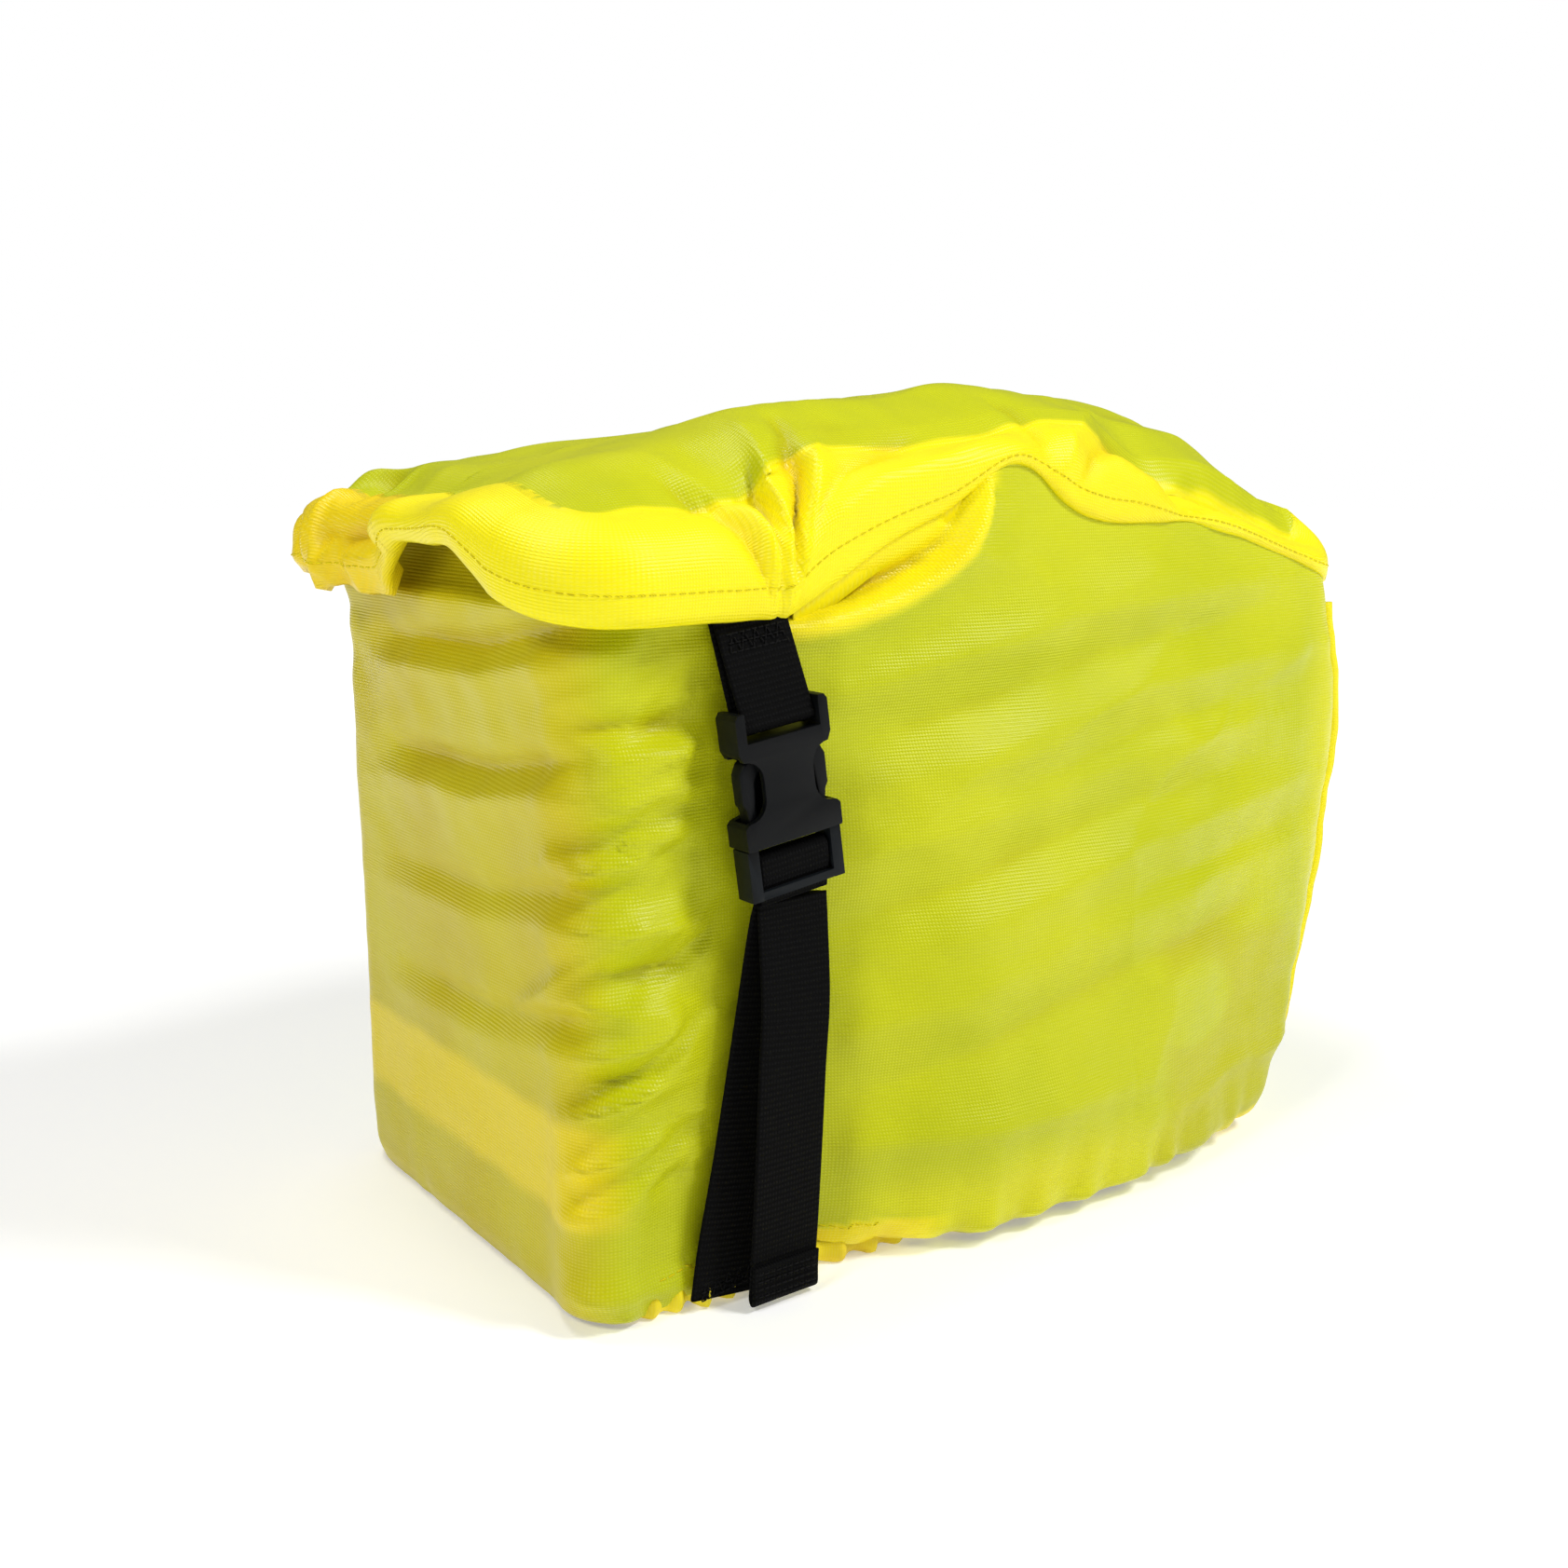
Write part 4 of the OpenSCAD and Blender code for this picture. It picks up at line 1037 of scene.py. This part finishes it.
def hairpin(top_z, rear_y, front_y, radius):
    """Profile of webbing that runs up behind a bar, or down in front of it: (y, z) in the buckle's frame."""
    arc = [(0, -radius * math.cos(a), -radius * math.sin(a)) for a in np.linspace(0, math.pi, 13)]
    return [(0, front_y, top_z), (0, (front_y - radius) * 0.5, top_z * 0.5)] + arc + [
        (0, (rear_y + radius) * 0.5, top_z * 0.5), (0, rear_y, top_z)]


def bartack(name, centre, across, up, width, height):
    """Reinforcing stitches: two bars and a zigzag between them."""
    centre, across, up = (np.asarray(v, float) for v in (centre, across, up))
    rows = [[centre + up * h - across * width / 2, centre + up * h + across * width / 2]
            for h in (-height / 2, 0, height / 2)]
    zig = [centre + across * width * (k / 10 - 0.5) + up * height * (0.5 if k % 2 else -0.5)
           for k in range(11)]
    return stitches(name, rows + [zig], 2.2, 1.8, 0.22)


ACROSS = in_buckle([1, 0, 0]) - MOUTH
UP = in_buckle([0, 0, 1]) - MOUTH

web_path = spline(hairpin(33, 9.2, 7.2, 2.75), 5) + np.array([0, 0, BAR_Z])
upper = ribbon("strap_upper_webbing", in_buckle(web_path), ACROSS)
dress(upper, WEBBING, "cover", "webbing", "upper_webbing")
tack = bartack("strap_upper_bartack", in_buckle([0, 3.1, BAR_Z + 23]), ACROSS,
               UP + np.array([0, 0.32, 0]), 20, 5)
dress(tack, THREAD_BLACK, "cover", "stitching", "upper_bartack")

wrap_path = spline([(0, 1.75, -13), (0, 2.4, -6)] + [
    (0, 2.6 * math.cos(a), 2.6 * math.sin(a)) for a in np.linspace(0, math.pi, 11)] + [
    (0, -2.3, -5), (0, -0.9, -9), (0, 0.1, -13.2)], 4) + np.array([0, 0, WRAP_BAR_Z])
wrap = ribbon("strap_bar_wrap", in_buckle(wrap_path), ACROSS, WEB_W - 0.4)
dress(wrap, WEBBING, "plug", "webbing", "bar_wrap")

tail_path = spline([(-84.0, -100.7, 127.6), (-83.9, -101.4, 117), (-84.6, -103.6, 96),
                    (-86.6, -104.8, 76), (-87.4, -104.2, 50), (-87.7, -102.6, 24), (-87.9, -101.2, 8),
                    (-88, -101.0, 4.2), (-88, -101.4, 3.0), (-88, -102.3, 2.6), (-88, -103.0, 4.0),
                    (-87.9, -102.9, 9), (-87.8, -103.2, 14.5)], 8)
# The tail leaves the buckle square to it and untwists as it hangs
untwist = smooth(0.0, 0.35, np.linspace(0, 1, len(tail_path))[:, None])
tail_piece = ribbon("strap_tail_webbing", tail_path,
                    ACROSS * (1 - untwist) + np.array([1.0, 0.03, 0]) * untwist)
dress(tail_piece, WEBBING, "tail", "webbing", "strap_tail", "tail_end_fold")
tail_rows = [[(-99, -104.0, z), (-77, -104.0, z)] for z in (5.2, 7.6, 10.0, 12.4)]
tail_thread = stitches("strap_tail_stitches", tail_rows, 2.2, 1.8, 0.22)
dress(tail_thread, THREAD_BLACK, "tail", "stitching")

leg_path = spline([in_buckle([0, 1.75, WRAP_BAR_Z - 12.4]), (-85.2, -97.6, 118), (-90.4, -96.2, 84),
                   (-96, -95.0, 50), (-101, -93.6, 22), (-103.2, -93.2, 7), (-103.6, -93.4, 3.4)], 10)
leg = ribbon("strap_leg_webbing", leg_path, ACROSS)
dress(leg, WEBBING, None, "webbing", "strap_leg")
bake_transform(leg)
foot_aim = leg_path[-8] - leg_path[-1]
leg_tack = bartack("strap_leg_bartack", leg_path[-12] + np.array([0, -0.8, 0]), ACROSS,
                   foot_aim / np.linalg.norm(foot_aim), 20, 5)
dress(leg_tack, THREAD_BLACK, "cover", "stitching", "leg_bartack")


def box_uv(obj):
    """UVs in metres, projected along whichever axis each face is squarest to."""
    mesh = obj.data
    layer = mesh.uv_layers.get("UVMap") or mesh.uv_layers.new(name="UVMap")
    for poly in mesh.polygons:
        k = max(range(3), key=lambda i: abs(poly.normal[i]))
        a, b = ((1, 2), (0, 2), (0, 1))[k]
        for li in poly.loop_indices:
            co = mesh.vertices[mesh.loops[li].vertex_index].co
            layer.data[li].uv = (co[a], co[b])
    return obj


def copy_of(node, name, corner=0.0):
    """A new piece with a CAD node's shape, its square corners, seen from the front, rounded to a radius."""
    mesh = NODES[node].data.copy()
    mesh.name = name
    obj = bpy.data.objects.new(name, mesh)
    bpy.context.scene.collection.objects.link(obj)
    bm = bmesh.new()
    bm.from_mesh(mesh)
    bmesh.ops.remove_doubles(bm, verts=bm.verts, dist=1e-5)
    bmesh.ops.dissolve_limit(bm, angle_limit=math.radians(1.5), verts=bm.verts, edges=bm.edges)
    if corner:
        square = [e for e in bm.edges if len(e.link_faces) == 2 and e.is_convex and e.calc_length() > 0.004
                  and e.calc_face_angle() > 1.2
                  and abs((e.verts[0].co - e.verts[1].co).normalized().y) > 0.99]
        bmesh.ops.bevel(bm, geom=square, offset=corner * MM, segments=4, affect="EDGES", profile=0.5,
                        clamp_overlap=True)
    bm.to_mesh(mesh)
    bm.free()
    return obj


def moulded(node, name, radius, corner=0.0):
    """A plastic piece with the CAD node's shape and its edges rounded."""
    obj = copy_of(node, name, corner)
    apply(obj, "BEVEL", width=radius * MM, segments=3, limit_method="ANGLE", angle_limit=math.radians(32),
          use_clamp_overlap=True)
    obj.data.polygons.foreach_set("use_smooth", [True] * len(obj.data.polygons))
    obj.data.set_sharp_from_angle(angle=math.radians(38))
    return box_uv(obj)


for node, name, body, radius, corner in (("buckle_socket", "buckle_socket_moulding", "cover", 0.8, 1.6),
                                         ("buckle_plug", "buckle_plug_moulding", "plug", 0.7, 2.6),
                                         ("prong_front", "buckle_prong_front", "front_prong", 0.8, 0),
                                         ("prong_rear", "buckle_prong_rear", "rear_prong", 0.8, 0)):
    dress(moulded(node, name, radius, corner), BUCKLE, body, "buckle_plastic", node)

# ---------------------------------------------------------------- liner bag


LINER_X, LINER_Y, LINER_R = 141.0, 82.0, 20.0
LINER_TOP, PAD = 194.0, 5.0
LID_RISE = [[-150, 24], [-60, 42], [30, 58], [90, 54], [125, 40], [145, 26]]


def rounded(x0, x1, half, radius, per_side=64, per_corner=14):
    """A rounded rectangle in plan: its points and their outward directions."""
    points, outward = [], []
    for k, (cx, cy) in enumerate(((x1 - radius, radius - half), (x1 - radius, half - radius),
                                  (x0 + radius, half - radius), (x0 + radius, radius - half))):
        for a in np.linspace(0, QUARTER, per_corner) + (k - 1) * QUARTER:
            points.append((cx + radius * math.cos(a), cy + radius * math.sin(a)))
            outward.append((math.cos(a), math.sin(a)))
        to = ((x1, half - radius), (x0 + radius, half), (x0, radius - half), (x1 - radius, -half))[k]
        last = np.array(points[-1])
        for t in np.linspace(0, 1, per_side + 1, endpoint=False)[1:]:
            points.append(tuple(last + (np.array(to) - last) * t))
            outward.append(outward[-1])
    return np.array(points), np.array(outward)


def cup(name, rings, seed, puff):
    """A padded shell lofted through rings of points, its first and last rings closed. puff is a height for
    each ring and column by which the padding swells or dents."""
    rows, n = rings.shape[:2]
    faces = grid_faces(rows, n, closed=True)
    faces += [tuple(range(n))[::-1], tuple((rows - 1) * n + k for k in range(n))]
    obj = recalc(make(name, rings, faces))
    mesh = obj.data
    co, normal = np.zeros(rows * n * 3, np.float32), np.zeros(rows * n * 3, np.float32)
    mesh.vertices.foreach_get("co", co)
    mesh.vertices.foreach_get("normal", normal)
    co, normal = co.reshape(-1, 3), normal.reshape(-1, 3)
    x, y, z = (co / MM).T
    swell = puff.ravel() * (ripple(x + z, y - z, 46, seed) + 0.5 * ripple(x - y, z + y, 16, seed + 1) - 0.35)
    mesh.vertices.foreach_set("co", (co + normal * (swell * MM)[:, None]).astype(np.float32).ravel())
    return box_uv(obj)


def build_tub():
    """The liner's walls and floor: padding between two layers of packcloth."""
    plan, out = rounded(-LINER_X, LINER_X, LINER_Y, LINER_R)
    profile = [(-40, 3.0), (-12, 3.0), (-6, 3.1), (-4, 4), (-2.4, 7), (-0.8, 11)]
    profile += [(0, z) for z in np.linspace(14, LINER_TOP - 1.6, 74)]
    profile += [(-0.5, LINER_TOP - 0.5), (-1.8, LINER_TOP)]
    profile += [(-PAD + 1.8, LINER_TOP), (-PAD + 0.5, LINER_TOP - 0.5)]
    profile += [(-PAD, z) for z in np.linspace(LINER_TOP - 1.6, 9, 60)]
    profile += [(-PAD - 1.5, 7.3), (-PAD - 4, 7.0), (-40, 7.0)]
    rings = np.array([
        np.column_stack([plan + out * g if g > -20 else plan * (1 + g / LINER_Y), np.full(len(plan), z)])
        for g, z in profile])
    x, y, z = rings[..., 0], rings[..., 1], rings[..., 2]
    puff = 2.0 * smooth(10, 30, z) * smooth(LINER_TOP - 4, LINER_TOP - 22, z)
    band = smooth(28, 34, z) * smooth(64, 58, z) * smooth(78, 70, x)
    loop = smooth(1.5, 1.0, np.hypot(y / 20, (z - 120) / 16)) * smooth(120, 135, x)
    puff = puff * (1 - np.clip(band + loop, 0, 1))
    # a sewn seam down each corner draws the padding in
    corner = np.exp(-((np.abs(out[:, 0]) - np.abs(out[:, 1])) / 0.16) ** 2)[None, :]
    outer = np.arange(len(profile)) < 6 + 74
    rings[..., :2] -= (out[None] * (1.3 * corner * puff / 2 * outer[:, None])[..., None])
    return cup("liner_tub_cloth", rings, 81.0, puff)


def build_lid():
    """The liner's domed lid: padded packcloth, thin at the rim."""
    plan, out = rounded(-LINER_X, LINER_X - 4, LINER_Y, LINER_R)
    share = np.concatenate([[0.03, 0.1], np.linspace(0.16, 0.94, 40), [0.96, 0.98, 0.993, 1.0]])
    low = LINER_TOP + 0.5

    def ring(f, drop):
        z = low + 5 + curve(LID_RISE, plan[:, 0] * f) * (1 - min(f, 1) ** 3) ** 0.6 - drop
        return np.column_stack([plan * f, z])

    inner = [ring(f - 0.02, 3.6) for f in share[::-1][2:] if f > 0.12]
    foot = [np.column_stack([plan + out * g, np.full(len(plan), z)])
            for g, z in ((0, low + 2.4), (-0.4, low + 0.4), (-1.2, low), (-3.2, low), (-3.9, low + 0.5))]
    rings = np.array([ring(f, 0) for f in share] + foot + inner)
    x, y, z = rings[..., 0], rings[..., 1], rings[..., 2]
    count = len(share)
    puff = np.zeros(rings.shape[:2])
    puff[:count] = (1.7 * smooth(1.0, 0.9, share) * smooth(0.03, 0.2, share))[:, None]
    handle = smooth(20, 14, np.abs(y)) * smooth(-48, -38, x) * smooth(88, 78, x)
    puff = puff * (1 - handle)
    return cup("liner_lid_cloth", rings, 83.0, puff)


tub = dress(build_tub(), PACKCLOTH, "liner", "liner_cloth", "liner_tub")
lid = dress(build_lid(), PACKCLOTH, "lid", "liner_cloth", "liner_lid")
plan, out = rounded(-LINER_X, LINER_X, LINER_Y, LINER_R)
centre = np.column_stack([plan + out * 0.5, np.full(len(plan), LINER_TOP - 2.6)])
piping = box_uv(tube("liner_rim_piping", centre, out, 1.5, 1.5, 10))
dress(piping, WEBBING, "liner", "liner_cloth", "rim_piping")
plan, out = rounded(-LINER_X, LINER_X - 4, LINER_Y, LINER_R)
centre = np.column_stack([plan - out * 0.3, np.full(len(plan), LINER_TOP + 5.2)])
lid_piping = box_uv(tube("liner_lid_piping", centre, out, 1.4, 1.4, 10))
dress(lid_piping, WEBBING, "lid", "liner_cloth")
for node, name, material, body, slot, radius in (
        ("base_board", "liner_base_board", BOARD, "liner", "liner_board", 0.8),
        ("reflective_band", "liner_reflective_band", REFLECTIVE, "liner", "reflective", 0.2),
        ("haul_loop", "liner_haul_loop", WEBBING, "liner", "webbing", 0.4),
        ("lid_hinge_tape", "liner_lid_hinge_tape", WEBBING, "liner", "webbing", 0.2),
        ("lid_handle", "liner_lid_handle", WEBBING, "lid", "webbing", 0.4)):
    dress(moulded(node, name, radius), material, body, slot, node)

# ---------------------------------------------------------------- stage, light and camera


def stage():
    """A pale floor, lit evenly far away so that it runs out into the background."""
    rings = [0.0, 0.35, 0.6, 0.9, 1.3, 2.0, 4.0, 9.0]
    sides = 48
    points = [(0, 0, 0)]
    faces = []
    for k, r in enumerate(rings[1:]):
        for j in range(sides):
            a = 2 * math.pi * j / sides
            points.append((r * 1000 * math.cos(a), r * 1000 * math.sin(a), 0))
            here, there = 1 + k * sides + j, 1 + k * sides + (j + 1) % sides
            if k == 0:
                faces.append((0, here, there))
            else:
                faces.append((here - sides, here, there, there - sides))
    obj = make("floor", points, faces)
    s = Shader("floor_paper", roughness=0.9, specular=0.1)
    far = s.add("VectorMath", operation="LENGTH")
    s.join(s.object_space(), far.inputs[0])
    s.bsdf.inputs["Emission Color"].default_value = (1, 1, 1, 1)
    s.join(s.ramp(far.outputs["Value"], 0.3, 1.5, 0.3, 0.95), s.bsdf.inputs["Emission Strength"])
    tone = s.mix(s.noise(s.object_space(), 3, 2), (0.86, 0.86, 0.86), (0.9, 0.9, 0.9))
    obj.data.materials.append(s.finish(tone))


# The camera's turn and tilt
YAW = math.radians(35.64)
PITCH = math.radians(10.92)


def camera():
    """The camera, at the photograph's viewing angle."""
    data = bpy.data.cameras.new("camera")
    data.lens = 38.5
    data.sensor_width = 36
    data.clip_start = 0.01
    obj = bpy.data.objects.new("camera", data)
    obj.location = (-0.3658, -0.4896, 0.2542)
    obj.rotation_euler = (QUARTER - PITCH, 0, -YAW)
    bpy.context.scene.collection.objects.link(obj)
    bpy.context.scene.camera = obj


def area_light(name, place, aim, size, power, colour=(1, 1, 1)):
    data = bpy.data.lights.new(name, "AREA")
    data.shape = "RECTANGLE"
    data.size, data.size_y = size
    data.energy = power
    data.color = colour
    obj = bpy.data.objects.new(name, data)
    obj.location = place
    obj.rotation_euler = (Vector(aim) - Vector(place)).to_track_quat("-Z", "Y").to_euler()
    bpy.context.scene.collection.objects.link(obj)


def lights():
    centre = (0, 0, 0.14)
    area_light("key", (0.6, -0.95, 1.4), centre, (0.36, 0.36), 17.5)
    area_light("fill", (-1.2, -0.4, 1.15), centre, (0.35, 0.35), 7)
    area_light("gloss", (1.0, -1.15, 0.62), centre, (0.2, 0.2), 1.4)
    area_light("back", (-0.3, 0.3, 1.6), centre, (0.5, 0.5), 9)
    world = bpy.data.worlds.new("world")
    world.use_nodes = True
    tree = world.node_tree
    background = tree.nodes["Background"]
    background.inputs["Color"].default_value = (1, 1, 1, 1)
    seen = tree.nodes.new("ShaderNodeLightPath")
    level = tree.nodes.new("ShaderNodeMapRange")
    level.inputs["To Min"].default_value = 0.13
    level.inputs["To Max"].default_value = 1.0
    tree.links.new(seen.outputs["Is Camera Ray"], level.inputs["Value"])
    tree.links.new(level.outputs["Result"], background.inputs["Strength"])
    bpy.context.scene.world = world
    bpy.context.scene.view_settings.view_transform = "Standard"


camera()
stage()
lights()
